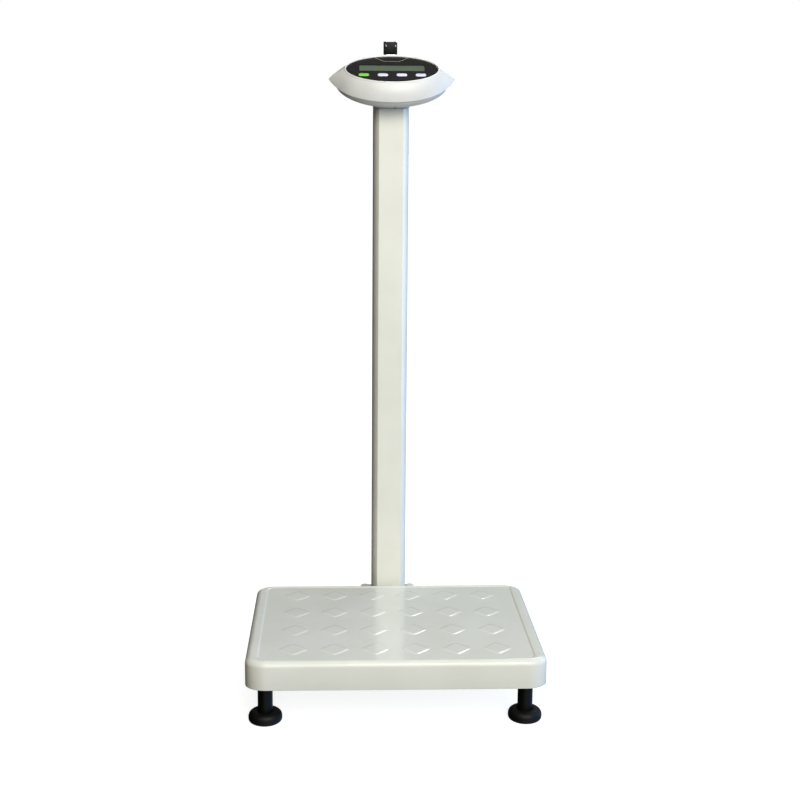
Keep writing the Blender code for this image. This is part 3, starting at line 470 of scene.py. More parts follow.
pan_low, pan_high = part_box("weighing_pan")
PAN_EDGE = 0.008  # radius of the pressed edge
FIELD_INSET = np.array([0.0165, 0.0108])  # from the pan's sides and ends to the sunk field
FIELD_CORNER = 0.010
FIELD_SINK = 0.001
FIELD_STEP = 0.0012
PAN_WALL = 0.002
DIAMONDS = (6, 4)
DIAMOND_HALF = 0.0178
DIAMOND_SLOPE = 0.0021
DIAMOND_RISE = 0.0007
DIAMOND_BLUNT = 0.0016  # rounds its four points
DIAMOND_MARGIN = (0.059, 0.0435)
STEP_WIDE = 0.0021  # from the sunk field up to the rim
CEILING_ROUND = 0.006  # radius inside, between the wall and the underside of the field


def diamond_relief(x, y):
    """Height of the raised diamonds over the field. The nearest diamond is found by wrapping x and y at the
    pitch. The height is a smooth step of how far the rounded sum of both distances lies inside it."""
    offset = []
    size = pan_high - pan_low
    for value, low, length, count, margin in zip((x, y), pan_low, size, DIAMONDS, DIAMOND_MARGIN):
        pitch = (length - 2 * margin) / (count - 1)
        nearest = np.clip(np.round((value - low - margin) / pitch), 0, count - 1)
        offset.append(value - low - margin - nearest * pitch)
    reach = sum(np.hypot(distance, DIAMOND_BLUNT) for distance in offset) - DIAMOND_BLUNT
    share = np.clip((DIAMOND_HALF - reach) / DIAMOND_SLOPE, 0, 1)
    return DIAMOND_RISE * share * share * (3 - 2 * share)


def pan_surface():
    """The field is a grid whose four corner blocks are drawn round: each unit square goes to a quarter disc
    by x times the root of 1 - y y / 2, and y alike. From its rim the section goes outwards along the rim's
    normal: up the step, over the flat rim, round the edge, down the wall, round the hem and up inside."""
    half = np.array((pan_high - pan_low).xy) / 2 - FIELD_INSET
    centre = np.array([0.0, (pan_low.y + pan_high.y) / 2])
    counts = (2 * half / FIELD_STEP).astype(int)
    x, y = np.meshgrid(*(np.linspace(-h, h, n) for h, n in zip(half, counts)))
    core = half - FIELD_CORNER
    p = np.clip((np.abs(x) - core[0]) / FIELD_CORNER, 0, 1)
    q = np.clip((np.abs(y) - core[1]) / FIELD_CORNER, 0, 1)
    x = np.where(p * q > 0, np.sign(x) * (core[0] + FIELD_CORNER * p * np.sqrt(1 - q * q / 2)), x)
    y = np.where(p * q > 0, np.sign(y) * (core[1] + FIELD_CORNER * q * np.sqrt(1 - p * p / 2)), y)
    x += centre[0]
    y += centre[1]
    z = pan_high.z - FIELD_SINK + diamond_relief(x, y)
    field = np.stack([x, y, z], -1)
    rows, columns = x.shape
    index = np.arange(rows * columns).reshape(rows, columns)
    quads = np.stack([index[:-1, :-1], index[:-1, 1:], index[1:, 1:], index[1:, :-1]], -1).reshape(-1, 4)
    rim = np.concatenate([index[0, :-1], index[:-1, -1], index[-1, :0:-1], index[:0:-1, 0]])
    edge = field.reshape(-1, 3)[rim]
    flat = edge[:, :2] - centre
    out = flat - np.clip(flat, -core, core)
    out /= np.linalg.norm(out, axis=1, keepdims=True)
    step = np.linspace(0.15, 1, 6)
    a = np.radians(np.linspace(0, 90, 13))
    hem = np.radians(np.linspace(0, 180, 7))
    inner = np.radians(np.linspace(0, 90, 5))
    top, low, wall = pan_high.z, pan_low.z, PAN_WALL
    ceiling = top - FIELD_SINK - wall - CEILING_ROUND
    inside = PAN_EDGE - wall - CEILING_ROUND
    stretches = (
        (STEP_WIDE * step, top - FIELD_SINK * (1 - step * step * (3 - 2 * step))),
        ([-0.0004], [top]),
        (PAN_EDGE * np.sin(a), top - PAN_EDGE * (1 - np.cos(a))),
        (PAN_EDGE - wall / 2 * (1 - np.cos(hem)), low + wall / 2 * (1 - np.sin(hem))),
        (inside + CEILING_ROUND * np.cos(inner), ceiling + CEILING_ROUND * np.sin(inner)),
    )
    distance, height = (np.concatenate(parts) for parts in zip(*stretches))
    over_rim = (np.arange(len(height)) >= len(step))[:, None] * (FIELD_INSET - PAN_EDGE)
    loops = np.concatenate(
        [
            edge[None, :, :2] + out * (distance[:, None] + over_rim)[:, None],
            np.broadcast_to(height[:, None, None], (len(height), len(rim), 1)),
        ],
        -1,
    )
    start = rows * columns
    ring = np.vstack([rim, start + np.arange(loops.shape[0] * len(rim)).reshape(-1, len(rim))])
    skirt = np.stack([ring[:-1], np.roll(ring[:-1], -1, 1), np.roll(ring[1:], -1, 1), ring[1:]], -1)
    faces = quads.tolist() + skirt.reshape(-1, 4).tolist() + [ring[-1].tolist()]
    return np.vstack([field.reshape(-1, 3), loops.reshape(-1, 3)]), faces


piece("pressed_pan", [pan_surface()], IVORY, "weighing_pan", body="pan", degrees=60)

for tag in CORNERS:
    node = f"pan_bumper_{tag}"
    low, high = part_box(node)
    inset, z = soft_profile(low.z, high.z, 0.0008)
    bumper = turned(half_width(node) - inset, z, shift(*middle(node).xy))
    piece(f"bumper_{tag}", [bumper], RUBBER, node)


# --- Feet ---

TREAD = 0.0007  # depth of the grooves in a foot's sole
TREAD_PITCH = 0.0055
SOLE_ROUND = 0.0045  # radius of the pad's lower rim
PAD_ROUND = 0.0072  # radius of its upper rim
FLUTES = 24
THREAD_PITCH = 0.0015
THREAD_DEPTH = 0.0007


def foot_sole(radius, height, socket):
    """Radii and heights of the rubber pad: a sole with ring grooves, a bulging rim, and a shallow socket."""
    across = np.linspace(0.0001, radius - SOLE_ROUND, 40)
    groove = TREAD * (0.5 - 0.5 * np.cos(TAU * across / TREAD_PITCH)) ** 3
    groove[-3:] = 0
    low_r, low_z = quarter(radius - SOLE_ROUND, SOLE_ROUND, SOLE_ROUND, -84, -5, 8)
    top_r, top_z = quarter(radius - PAD_ROUND, height - PAD_ROUND, PAD_ROUND, 5, 84, 8)
    neck_r = np.array([socket + 0.0022, socket + 0.0008, socket + GAP, socket + GAP, 0.0001])
    neck_z = np.array([height, height - 0.0002, height - 0.0010, height - 0.003, height - 0.003])
    return np.concatenate([across, low_r, top_r, neck_r]), np.concatenate([groove, low_z, top_z, neck_z])


for tag in CORNERS:
    pad, stem, stud = f"foot_pad_{tag}", f"foot_stem_{tag}", f"foot_stud_{tag}"
    centre = shift(*middle(stem).xy)
    stem_r = half_width(stem)
    sole = turned(*foot_sole(half_width(pad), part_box(pad)[1].z, stem_r), centre, 96)
    piece(f"rubber_foot_{tag}", [sole], RUBBER, pad, body=f"foot_{tag}")
    low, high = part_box(stem)
    inset, z = soft_profile(low.z, high.z, 0.0009)
    angle = circle(96)
    radius = (stem_r - inset)[:, None] * (1 - 0.012 * (0.5 + 0.5 * np.cos(FLUTES * angle)) ** 4)
    fluted = lattice(around(radius, angle, z[:, None]), centre)
    piece(f"stem_{tag}", [fluted], BLACK, stem, body=f"screw_{tag}")
    low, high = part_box(stud)
    threaded = thread(half_width(stud), low.z, high.z, THREAD_PITCH, THREAD_DEPTH, centre)
    piece(f"threaded_stud_{tag}", [threaded], ZINC, stud, body=f"screw_{tag}", degrees=60)


# --- Base frame ---

RAIL = (0.025, 0.022)
RAIL_CORNER = 0.003
RAIL_WALL = 0.002
EAR_Z = 0.064  # underside of the lugs that the foot studs go through
EAR_T = 0.004
EAR_WIDE = 0.040
NUT_ACROSS = 0.017
STUD_HOLE_R = 0.0053


def weld_bead(start, end, up, radius=0.0016):
    """A fillet weld: a round bead whose radius swells and shrinks every 2.4 mm along it."""
    start, end = np.array(start), np.array(end)
    length = np.linalg.norm(end - start)
    along = np.linspace(0, 1, int(length / 0.0006) + 2)[:, None]
    path = start + (end - start) * along
    swell = radius * (0.86 + 0.14 * np.cos(TAU * along[:, 0] * length / 0.0024))
    swell[[0, -1]] = radius * 0.3
    direction = (end - start) / length
    across = np.cross(direction, up)
    section = np.cos(circle(12))[None, :, None] * across
    section = section + np.sin(circle(12))[None, :, None] * np.array(up, float)
    return lattice(path[:, None] + swell[:, None, None] * section)


for side, sign in (("left", -1), ("right", 1)):
    low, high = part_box(f"base_rail_{side}")
    inner, far = (low.x, high.x) if sign > 0 else (high.x, low.x)
    rail_x = inner + sign * RAIL[0] / 2
    rail_z = low.z + RAIL[1] / 2
    foot_x = middle(f"foot_stem_front_{side}").x
    at = shift(rail_x, (low.y + high.y) / 2, rail_z) @ turn(90, "X")
    half = (high.y - low.y) / 2
    tube = square_tube(*RAIL, RAIL_CORNER, RAIL_WALL, -half, half, 0.0003, 6, at)
    piece(f"rail_{side}", [tube], GREY, f"base_rail_{side}")
    near = rail_x + sign * (RAIL[0] / 2 - 0.001)
    edge_x = rail_x + sign * (RAIL[0] / 2 + 0.0003)
    ears, holes, beads, nuts = [], [], [], []
    for end in ("front", "rear"):
        foot_y = middle(f"foot_stem_{end}_{side}").y
        ear = shift((near + far) / 2, foot_y)
        ears.append(slab(abs(far - near), EAR_WIDE, 0.004, EAR_Z, EAR_Z + EAR_T, 0.0005, 6, ear))
        at = shift(foot_x, foot_y)
        holes.append(turned([STUD_HOLE_R] * 2, [EAR_Z - 0.01, EAR_Z + 0.03], at, 32))
        nuts.append(hexagon_nut(NUT_ACROSS, STUD_HOLE_R, EAR_Z + EAR_T - 0.0002, high.z, at))
        for z in (EAR_Z - 0.0004, EAR_Z + EAR_T + 0.0004):
            beads.append(weld_bead((edge_x, foot_y - 0.018, z), (edge_x, foot_y + 0.018, z), (0, 0, 1)))
    carve(piece(f"rail_lugs_{side}", ears, GREY), holes)
    piece(f"rail_nuts_{side}", nuts, GREY)
    piece(f"rail_welds_{side}", beads, GREY, degrees=60)
    for end, y in (("front", low.y - 0.0004), ("rear", high.y + 0.0004)):
        at = shift(rail_x, y, rail_z) @ turn(90, "X")
        plug = slab(RAIL[0] - 0.001, RAIL[1] - 0.001, 0.0026, -0.0009, 0.0009, 0.0004, 6, at)
        piece(f"rail_plug_{end}_{side}", [plug], BLACK)

for end in ("front", "rear"):
    low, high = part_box(f"base_cross_{end}")
    size = high - low
    at = shift(0, (low.y + high.y) / 2, (low.z + high.z) / 2) @ turn(90, "Y")
    tube = square_tube(size.z, size.y, RAIL_CORNER, RAIL_WALL, low.x, high.x, 0.0003, 6, at)
    piece(f"cross_tube_{end}", [tube], GREY, f"base_cross_{end}")
    beads = []
    for x in (low.x, high.x):
        for y in (low.y, high.y):
            beads.append(weld_bead((x, y, low.z + 0.002), (x, y, high.z - 0.002), (1, 0, 0), 0.0014))
        beads.append(weld_bead((x, low.y + 0.002, low.z), (x, high.y - 0.002, low.z), (1, 0, 0), 0.0014))
    piece(f"cross_welds_{end}", beads, GREY, degrees=60)


CELL_BORE_Y = 0.020  # each bore's distance from the cell's middle


def cell_block():
    """The load cell: a milled bar with two bores and a slot between them, potted round the gauges."""
    low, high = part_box("load_cell")
    size = high - low
    at = shift(*middle("load_cell"))
    bar = slab(size.x, size.y, 0.001, low.z, high.z, 0.0006, 4, shift(*middle("load_cell").xy))
    block = piece("milled_load_cell", [bar], MILLED, "load_cell")
    cuts = []
    for y in (-CELL_BORE_Y, CELL_BORE_Y):
        bore = at @ shift(0, y) @ turn(90, "Y")
        cuts.append(turned([size.z * 0.36] * 2, [-size.x, size.x], bore, 48))
    cuts.append(slab(0.004, 2 * CELL_BORE_Y, 0.0005, -size.x, size.x, 0.0002, 2, at @ turn(90, "Y")))
    carve(block, cuts)
    for tag, x in (("left", -size.x / 2), ("right", size.x / 2)):
        face = at @ shift(x) @ turn(90, "Y")
        patch = slab(size.z - 0.004, 0.030, 0.004, -0.0009, 0.0009, 0.0008, 6, face)
        piece(f"gauge_potting_{tag}", [patch], POTTING)


cell_block()

cell_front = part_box("load_cell")[0].y
spider_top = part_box("load_spider")[1].z
screws = []
for y in (cell_front + 0.010, cell_front + 0.026):
    screws += hexagon_bolt(0.010, spider_top + 0.0009, spider_top + 0.0036, shift(0, y), 0.0062)
piece("spider_screws", screws, ZINC)
bracket_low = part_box("column_bracket")[0]
screws = []
for x in (-0.018, 0.018):
    for y in (bracket_low.y + 0.012, bracket_low.y + 0.062):
        at = shift(x, y, bracket_low.z) @ turn(180, "X")
        screws += hexagon_bolt(0.010, 0.0009, 0.0055, at, 0.0065)
piece("bracket_screws", screws, ZINC)

for node, material in (
    ("load_cell_beam", GREY[1]),
    ("load_spider", GREY[1]),
    ("column_bracket", GREY[1]),
    ("load_cell_spacer_lower", ZINC[1]),
    ("load_cell_spacer_upper", ZINC[1]),
    ("lcd_module", SHRINK),
    ("battery_pack", SHRINK),
    ("circuit_board", board_finish()),
    ("load_cell_cable", PVC),
):
    for holder in frame["nodes"][node].material_slots:
        holder.material = material


# --- Column ---

COLUMN_CORNER = 0.008
COLUMN_WALL = 0.002
COLUMN_BEND = 48  # the column's sides are arcs that meet its flat front at a crease
COLUMN_ARC = COLUMN_CORNER / (1 - np.cos(np.radians(COLUMN_BEND)))  # their radius
GASKET_PROUD = 0.0006
SCREW_HOLE_R = 0.0033
CABLE_HOLE_R = 0.005

tube_low, tube_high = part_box("column_tube")
column_y = middle("column_tube").y
column_at = shift(0, column_y)
column_size = np.array([tube_high.x - tube_low.x, tube_high.y - tube_low.y])
tube = square_tube(
    *column_size, COLUMN_ARC, COLUMN_WALL, tube_low.z, tube_high.z, 0.0004, 16, column_at, COLUMN_BEND
)
piece("column", [tube], IVORY, "column_tube", degrees=20)
gasket_low, gasket_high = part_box("column_gasket")
gasket_size = column_size + 2 * GASKET_PROUD
gasket = square_tube(
    *gasket_size, COLUMN_CORNER + GASKET_PROUD, 0.0026, gasket_low.z, gasket_high.z, 0.0005, 16, column_at
)
piece("foot_gasket", [gasket], FOAM, "column_gasket")
low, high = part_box("column_flange")
flange_top = gasket_low.z - GAP
at = shift(0, middle("column_flange").y)
plate = slab(high.x - low.x, high.y - low.y, 0.005, low.z, flange_top, 0.0008, 8, at)
flange = piece("column_flange_plate", [plate], IVORY, "column_flange")
bolt_holes = []
for number in range(1, 5):
    node = f"flange_bolt_{number}"
    at = shift(*middle(node).xy)
    bolt_holes.append(turned([SCREW_HOLE_R] * 2, [low.z - 0.01, flange_top + 0.01], at, 32))
    head_r = 0.0058 - np.array([0.0052, 0.0002, 0, 0.0006, 0.0022, 0.0040])
    head_z = flange_top + np.array([0.0002, 0.0002, 0.0005, 0.0010, 0.0012, 0.00125])
    shank = thread(0.003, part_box(node)[0].z, flange_top + 0.0004, 0.001, 0.0005, at)
    piece(f"flange_screw_{number}", [turned(head_r, head_z, at, 40), shank], IVORY, node)
carve(flange, bolt_holes)


# --- Display head ---
# In the head's own frame u runs to the right, v up the sloping face and w out of it.

inward = Vector(next(j["axis"] for j in frame["joints"] if j["name"] == "key_power_press"))
TILT = float(np.degrees(np.arctan2(inward.y, -inward.z)))
PANEL_LEVEL = 0.0199  # the face panel's middle above the parting plane
panel_middle = middle("face_panel")
HEAD = Matrix.Translation(panel_middle + inward * PANEL_LEVEL) @ turn(TILT, "X")
RIM = (0.0770, 0.048)
EAR_TIP = 0.0848
EAR_SPREAD = np.radians(25)
EAR_RISE = 0.0042
TOP_W = 0.0215
TOP = (0.0635, 0.0328)
LIP = 0.0009  # height of the cover's rounded lip
PANEL = (0.0616, 0.0309)
PANEL_TOP = PANEL_LEVEL + 0.001
BOWL_AXES = np.array([0.0760, 0.047, 0.025])
SHELL_T = 0.0022
CROWN = 0.34  # how far the cover's flank goes from straight to a quarter ellipse


def eared_rim(columns):
    """The cover's lower rim: an ellipse whose two ends are drawn out to points. Within the spread of each
    end the outward push and the rise grow with how near the angle is to the end, along a blunted line."""
    angle = circle(columns)
    off = np.arctan2(np.sin(angle), np.abs(np.cos(angle))) / EAR_SPREAD
    share = np.clip(1 - np.hypot(off, 0.07), 0, None) / 0.93
    push = (EAR_TIP - RIM[0]) * (0.80 * share + 0.20 * share**2)
    u = RIM[0] * np.cos(angle) + np.sign(np.cos(angle)) * push
    v = RIM[1] * np.sin(angle) * (1 - 0.10 * share)
    return np.stack([u, v, 0.0008 + EAR_RISE * share**1.5], -1)


def cover_surface(columns=256):
    """The upper shell: rows from the eared rim up a crowned flank to an ellipse round the panel, over a
    rounded lip, down to the panel's ledge and back down inside. The flank goes between straight and a
    quarter ellipse: share s inwards and up, mixed with 1 - cos and sin of s times 90 degrees."""
    rim = eared_rim(columns)
    start_w = TOP_W - 0.0007
    top = ellipse_rows([TOP[0]], [TOP[1]], [start_w], columns)[0]
    s = np.linspace(0, 1, 25)[:, None]
    inwards = (1 - CROWN) * s + CROWN * (1 - np.cos(s * np.pi / 2))
    upwards = (1 - CROWN) * s + CROWN * np.sin(s * np.pi / 2)
    flank = rim + (top - rim) * np.stack([inwards, inwards, upwards], -1)
    a = np.radians(np.linspace(10, 170, 9))
    opening = (PANEL[0] + GAP, PANEL[1] + GAP)
    lips = [(t + o) / 2 + (t - o) / 2 * np.cos(a) for t, o in zip(TOP, opening)]
    drawn_in = np.array([0, 0.0031, 0.0031, 0.0009])
    inside = [[*(o - drawn_in), r - 0.0025, r - 0.0004] for o, r in zip(opening, RIM)]
    ledge = PANEL_LEVEL - 0.001 - GAP
    inside_w = [ledge, ledge, ledge - 0.002, ledge - 0.002, GAP, GAP]
    lips = ellipse_rows(*lips, start_w + LIP * np.sin(a), columns)
    return np.concatenate([flank, lips, ellipse_rows(*inside, inside_w, columns)])


def bowl_rows(axes, steps=20, last=88, columns=192):
    """Ellipses down a half ellipsoid: both half axes shrink with the cosine, and the depth grows with the
    sine, of an angle that runs to nearly 90 degrees."""
    a = np.radians(np.linspace(0, last, steps))
    return ellipse_rows(axes[0] * np.cos(a), axes[1] * np.cos(a), -axes[2] * np.sin(a), columns)


def bowl_shell():
    """The lower shell as a closed wall: its inside from the bottom up, a bead on the rim, its outside."""
    rim = ellipse_rows([BOWL_AXES[0] - 0.0006], [BOWL_AXES[1] - 0.0006], [0.0])
    inside, outside = bowl_rows(BOWL_AXES - SHELL_T), bowl_rows(BOWL_AXES)
    return np.concatenate([inside[::-1], rim, outside[:1] - [0, 0, 0.0006], outside[2:]])


def bowl_depth(u, v):
    return BOWL_AXES[2] * np.sqrt(1 - (u / BOWL_AXES[0]) ** 2 - (v / BOWL_AXES[1]) ** 2)


piece("head_cover", [lattice(cover_surface(), HEAD, ring=True)], SHELL, "upper_shell", degrees=40)

# The polished bead that frames the panel. Its lighter white, over the cover's, paints the highlight that the
# bead catches
BEAD_R = 0.0008
bead = circle(12)
bead_rows = [(t + p) / 2 + 0.0002 + BEAD_R * np.cos(bead) for t, p in zip(TOP, PANEL)]
bead_rows = ellipse_rows(*bead_rows, TOP_W - 0.0001 + BEAD_R * np.sin(bead))
piece("panel_bead", [lattice(bead_rows, HEAD, ring=True)], POLISHED_WITH_HIGHLIGHT, degrees=60)

DOOR = (-0.053, -0.026, 0.023)  # left, right and half height of the battery opening
SOCKET_AT = (0.045, -0.005)
SCREW_AT = (0.004, -0.0372)
door_middle = (DOOR[0] + DOOR[1]) / 2
door_at = HEAD @ shift(door_middle)
door_size = np.array([DOOR[1] - DOOR[0], 2 * DOOR[2]])
door_span = (-0.04, 0.001 - SHELL_T)
socket_w = -bowl_depth(*SOCKET_AT)
screw_w = -bowl_depth(*SCREW_AT)
lower = piece("head_bowl", [lattice(bowl_shell(), HEAD)], SHADED_BOWL, "lower_shell", degrees=40)
carve(
    lower,
    [
        slab(*door_size, 0.0025, *door_span, 0.0002, 4, door_at),
        turned([0.0048] * 2, [socket_w - 0.01, socket_w + 0.012], HEAD @ shift(*SOCKET_AT), 48),
        turned([0.0031] * 2, [screw_w - 0.01, screw_w + 0.012], HEAD @ shift(*SCREW_AT), 32),
        turned([CABLE_HOLE_R] * 2, [panel_middle.z - 0.09, panel_middle.z], shift(0, column_y), 32),
    ],
)
cover = [lattice(bowl_shell(), HEAD)]
door = piece("battery_cover", cover, SHADED_BOWL, "battery_door", body="battery_door", degrees=40)
carve(door, [slab(*(door_size - 0.0009), 0.0022, *door_span, 0.0002, 4, door_at)], "INTERSECT")
ribs = []
for v in (-0.017, -0.0148, -0.0126, -0.0104):
    u = np.linspace(door_middle - 0.006, door_middle + 0.006, 13)
    path = place(grid(u, v, -bowl_depth(u, v) - 0.0001), HEAD)
    ribs.append(swept(path, 0.0005, 0.0005, HEAD.to_3x3() @ Vector((0, 1, 0)), 10))
piece("battery_cover_ribs", ribs, SHADED_BOWL, body="battery_door", degrees=60)

panel_in = np.array([0.0006, 0.0, 0, 0.0002, 0.0007])
panel_w = PANEL_LEVEL + np.array([-0.001, -0.001, 0.0007, 0.00095, 0.001])
panel = lattice(ellipse_rows(PANEL[0] - panel_in, PANEL[1] - panel_in, panel_w), HEAD)
panel = piece("overlay_panel", [panel], FILM, "face_panel")
WINDOW = np.array([0.088, 0.0152])
WINDOW_V = 0.0036
KEY = np.array([0.0142, 0.0066])
KEY_CORNER = 0.0031
KEY_PITCH = 0.0253
KEY_V = -0.0135
KEY_PROUD = 0.0006
KEY_CROWN = np.array([0.0, 0.00012, 0.0002])
window_at = HEAD @ shift(0, WINDOW_V)
through = (PANEL_TOP - 0.01, PANEL_TOP + 0.01)
cuts = [slab(*WINDOW, 0.0012, *through, 0.0002, 4, window_at)]
window = slab(*(WINDOW - 0.0005), 0.0010, PANEL_LEVEL - 0.0010, PANEL_TOP - 0.0013, 0.0002, 4, window_at)
piece("display", [window], ("display_glass", display_finish()), "display_window")
top = PANEL_TOP + KEY_PROUD
inset, z = soft_profile(PANEL_TOP - 0.0135, top - 0.0003, 0.0007, 5)
inset = np.concatenate([inset, [0.0018, 0.0024, 0.0030]])
z = np.concatenate([z, top - 0.0003 + KEY_CROWN])
for number, name in enumerate(("key_power", "key_unit", "key_hold", "key_clear")):
    at = HEAD @ shift((number - 1.5) * KEY_PITCH, KEY_V)
    cuts.append(slab(*(KEY + 2 * GAP), KEY_CORNER + 0.0001, *through, 0.0002, 8, at))
    key = lattice(rect_rows(*KEY, KEY_CORNER, inset, z), at)
    piece(f"{name}_cap", [key], KEY_WHITE if number else KEY_GREEN, name, body=name)
carve(panel, cuts)

# A printed line breaks the panel's upper edge: two slopes and a level stretch, 0.9 mm wide
line_u = np.array([-0.0232, -0.0104, 0.0104, 0.0232])
line_v = np.array([0.0283, 0.0192, 0.0192, 0.0283])
u = [np.linspace(a, b, 12, endpoint=False) for a, b in zip(line_u, line_u[1:])]
u = np.concatenate([*u, line_u[-1:]])
path = place(grid(u, np.interp(u, line_u, line_v), PANEL_TOP + 0.00002), HEAD)
line = swept(path, 0.00045, 0.00005, HEAD.to_3x3() @ Vector((0, 0, 1)), 8, 6.0)
piece("panel_print", [line], PRINT, degrees=60)

at = HEAD @ shift(*SOCKET_AT)
barrel_r = [0.0028, 0.0028, 0.0032, 0.0042, 0.0045, 0.0045, 0.0001]
barrel_w = socket_w + np.array([0.007, -0.0006, -0.001, -0.001, -0.0007, 0.009, 0.009])
pin_w = socket_w + np.array([0.0072, 0.0072, 0.0012, 0.0008])
shells = [turned(barrel_r, barrel_w, at, 48), turned([0.0001, 0.0006, 0.0006, 0.0001], pin_w, at, 16)]
piece("socket", shells, BLACK, "power_socket")
screw_r = [0.0001, 0.0022, 0.0027, 0.0028, 0.0028, 0.0001]
head_w = screw_w + np.array([0.0004, 0.0005, 0.0008, 0.0013, 0.009, 0.009])
screw = piece("shell_screw", [turned(screw_r, head_w, HEAD @ shift(*SCREW_AT), 32)], BLACK, "case_screw")
cross = HEAD @ shift(*SCREW_AT, screw_w)
slots = ((0.0032, 0.0007), (0.0007, 0.0032))
carve(screw, [slab(*size, 0.0001, -0.002, 0.0016, 0.0001, 2, cross) for size in slots])

neck_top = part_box("column_neck")[1].z
seat = tube_high.z + GAP
neck_rows = rect_rows(*column_size, COLUMN_CORNER, *soft_profile(seat, neck_top, 0.0006), 16)
neck = piece("neck", [lattice(neck_rows, column_at)], SHADED_BOWL, "column_neck")
carve(
    neck,
    [
        lattice(bowl_rows(BOWL_AXES + 0.0004, 16, 86, 96), HEAD),
        turned([CABLE_HOLE_R] * 2, [seat - 0.01, neck_top + 0.01], column_at, 32),
    ],
)


# --- Height rod ---

ROD_CORNER = 0.0015
CAP = (0.0185, 0.020)
LUG_R = 0.0035
LUG_T = 0.0043
PLATE_T = 0.002
NECK_HALF = 0.0047
NECK_LENGTH = 0.0235
SHOULDER = 0.0105  # length over which the headpiece opens to its full width
END_CORNER = 0.008
FLANGE = 0.0062
FLANGE_WALL = 0.0016

rod_at = shift(0, middle("rod_outer_tube").y)
for name, body, wall in (
    ("outer", "scale_frame", 0.0012),
    ("middle", "rod_middle", 0.0011),
    ("inner", "rod_inner", 0.0010),
):
    low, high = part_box(f"rod_{name}_tube")
    side = high.x - low.x
    tube = square_tube(side, side, ROD_CORNER, wall, low.z, high.z, 0.0003, 6, rod_at)
    finish = ("aluminium", rod_finish(f"anodised_aluminium_{name}_tube", high.x, high.y))
    piece(f"{name}_tube", [tube], finish, f"rod_{name}_tube", body=body)
for name, inner, body in (("outer", "middle", "scale_frame"), ("middle", "inner", "rod_middle")):
    low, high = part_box(f"rod_{name}_collar")
    side = high.x - low.x
    wall = side / 2 - half_width(f"rod_{inner}_tube") - GAP
    collar = square_tube(side, side, 0.0035, wall, low.z, high.z, 0.0005, 8, rod_at)
    piece(f"{name}_collar", [collar], HINGE_BLACK, f"rod_{name}_collar", body=body)
bore = 2 * half_width("rod_outer_tube") + 2 * GAP
for name in ("lower", "upper"):
    low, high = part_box(f"rod_clamp_{name}")
    at = shift(0, middle(f"rod_clamp_{name}").y)
    block = slab(high.x - low.x, high.y - low.y, 0.0030, low.z, high.z, 0.0010, 8, at)
    clamp = piece(f"clamp_{name}", [block], BLACK, f"rod_clamp_{name}")
    carve(clamp, [slab(bore, bore, 0.0018, low.z - 0.01, high.z + 0.01, 0.0002, 6, rod_at)])
    screws = []
    for z in (low.z + 0.0055, high.z - 0.0055):
        screws += hexagon_bolt(0.004, 0.0, 0.0011, shift(0, high.y, z) @ turn(-90, "X"))
    piece(f"clamp_screws_{name}", screws, ZINC)

cap_low, cap_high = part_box("rod_cap")
pin_low, pin_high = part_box("hinge_pin")
pivot = middle("hinge_pin")
block_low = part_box("rod_inner_tube")[1].z + GAP
block_top = cap_high.z - 0.003
cap_front = cap_low.y
cap_at = shift(0, cap_front + CAP[1] / 2)
SPIGOT = 0.0128
shells = [
    slab(*CAP, 0.0007, block_low, block_top, 0.0005, 6, cap_at),
    slab(SPIGOT, SPIGOT, 0.001, block_low - 0.015, block_low + 0.001, 0.0005, 4, rod_at),
]
back = cap_front + CAP[1] - 0.003
a = np.radians(np.linspace(-90, 90, 17))
outline_y = np.concatenate([[back], pivot.y + LUG_R * np.cos(a), [back]])
outline_z = np.concatenate([[pivot.z - LUG_R], pivot.z + LUG_R * np.sin(a), [block_top - 0.001]])
mid_y, mid_z = outline_y.mean(), outline_z.mean()
half = LUG_T / 2 - 0.00015
across = np.array([-half, -half + 0.0003, half - 0.0003, half])[:, None]
share = np.array([0.93, 1, 1, 0.93])[:, None]
for side in (-1, 1):
    x = side * (CAP[0] / 2 - LUG_T / 2 - 0.00015) + across
    y, z = mid_y + (outline_y - mid_y) * share, mid_z + (outline_z - mid_z) * share
    shells.append(lattice(grid(x, y, z)))
# A raised U on the block's front, and its two rivets
u_x = np.concatenate([[-0.0058] * 6, np.linspace(-0.0050, 0.0050, 8), [0.0058] * 6])
u_z = np.concatenate([np.linspace(0.0105, 0.0040, 6), [0.0032] * 8, np.linspace(0.0040, 0.0105, 6)])
shells.append(swept(grid(u_x, cap_front, block_low + u_z), 0.0006, 0.0006, (0, 1, 0), 10))
piece("rod_head_block", shells, HINGE_BLACK, "rod_cap", body="rod_inner")
radius, z = quarter(0, -0.0004, 0.0018, 0, 85, 8)
rivet_spots = [shift(x, cap_front, block_top - 0.0046) @ turn(90, "X") for x in (-0.0064, 0.0064)]
piece("block_rivets", [turned(radius, z, at, 32) for at in rivet_spots], ZINC, body="rod_inner")

along_x = shift(*pivot) @ turn(90, "Y")
half = half_width("hinge_pin")
inset, z = soft_profile(-half, half, 0.0003)
axle = turned((pin_high.z - pin_low.z) / 2 - inset, z, along_x, 32)
piece("hinge_axle", [axle], ZINC, "hinge_pin", body="rod_inner")

FULL_HALF = half_width("head_plate")


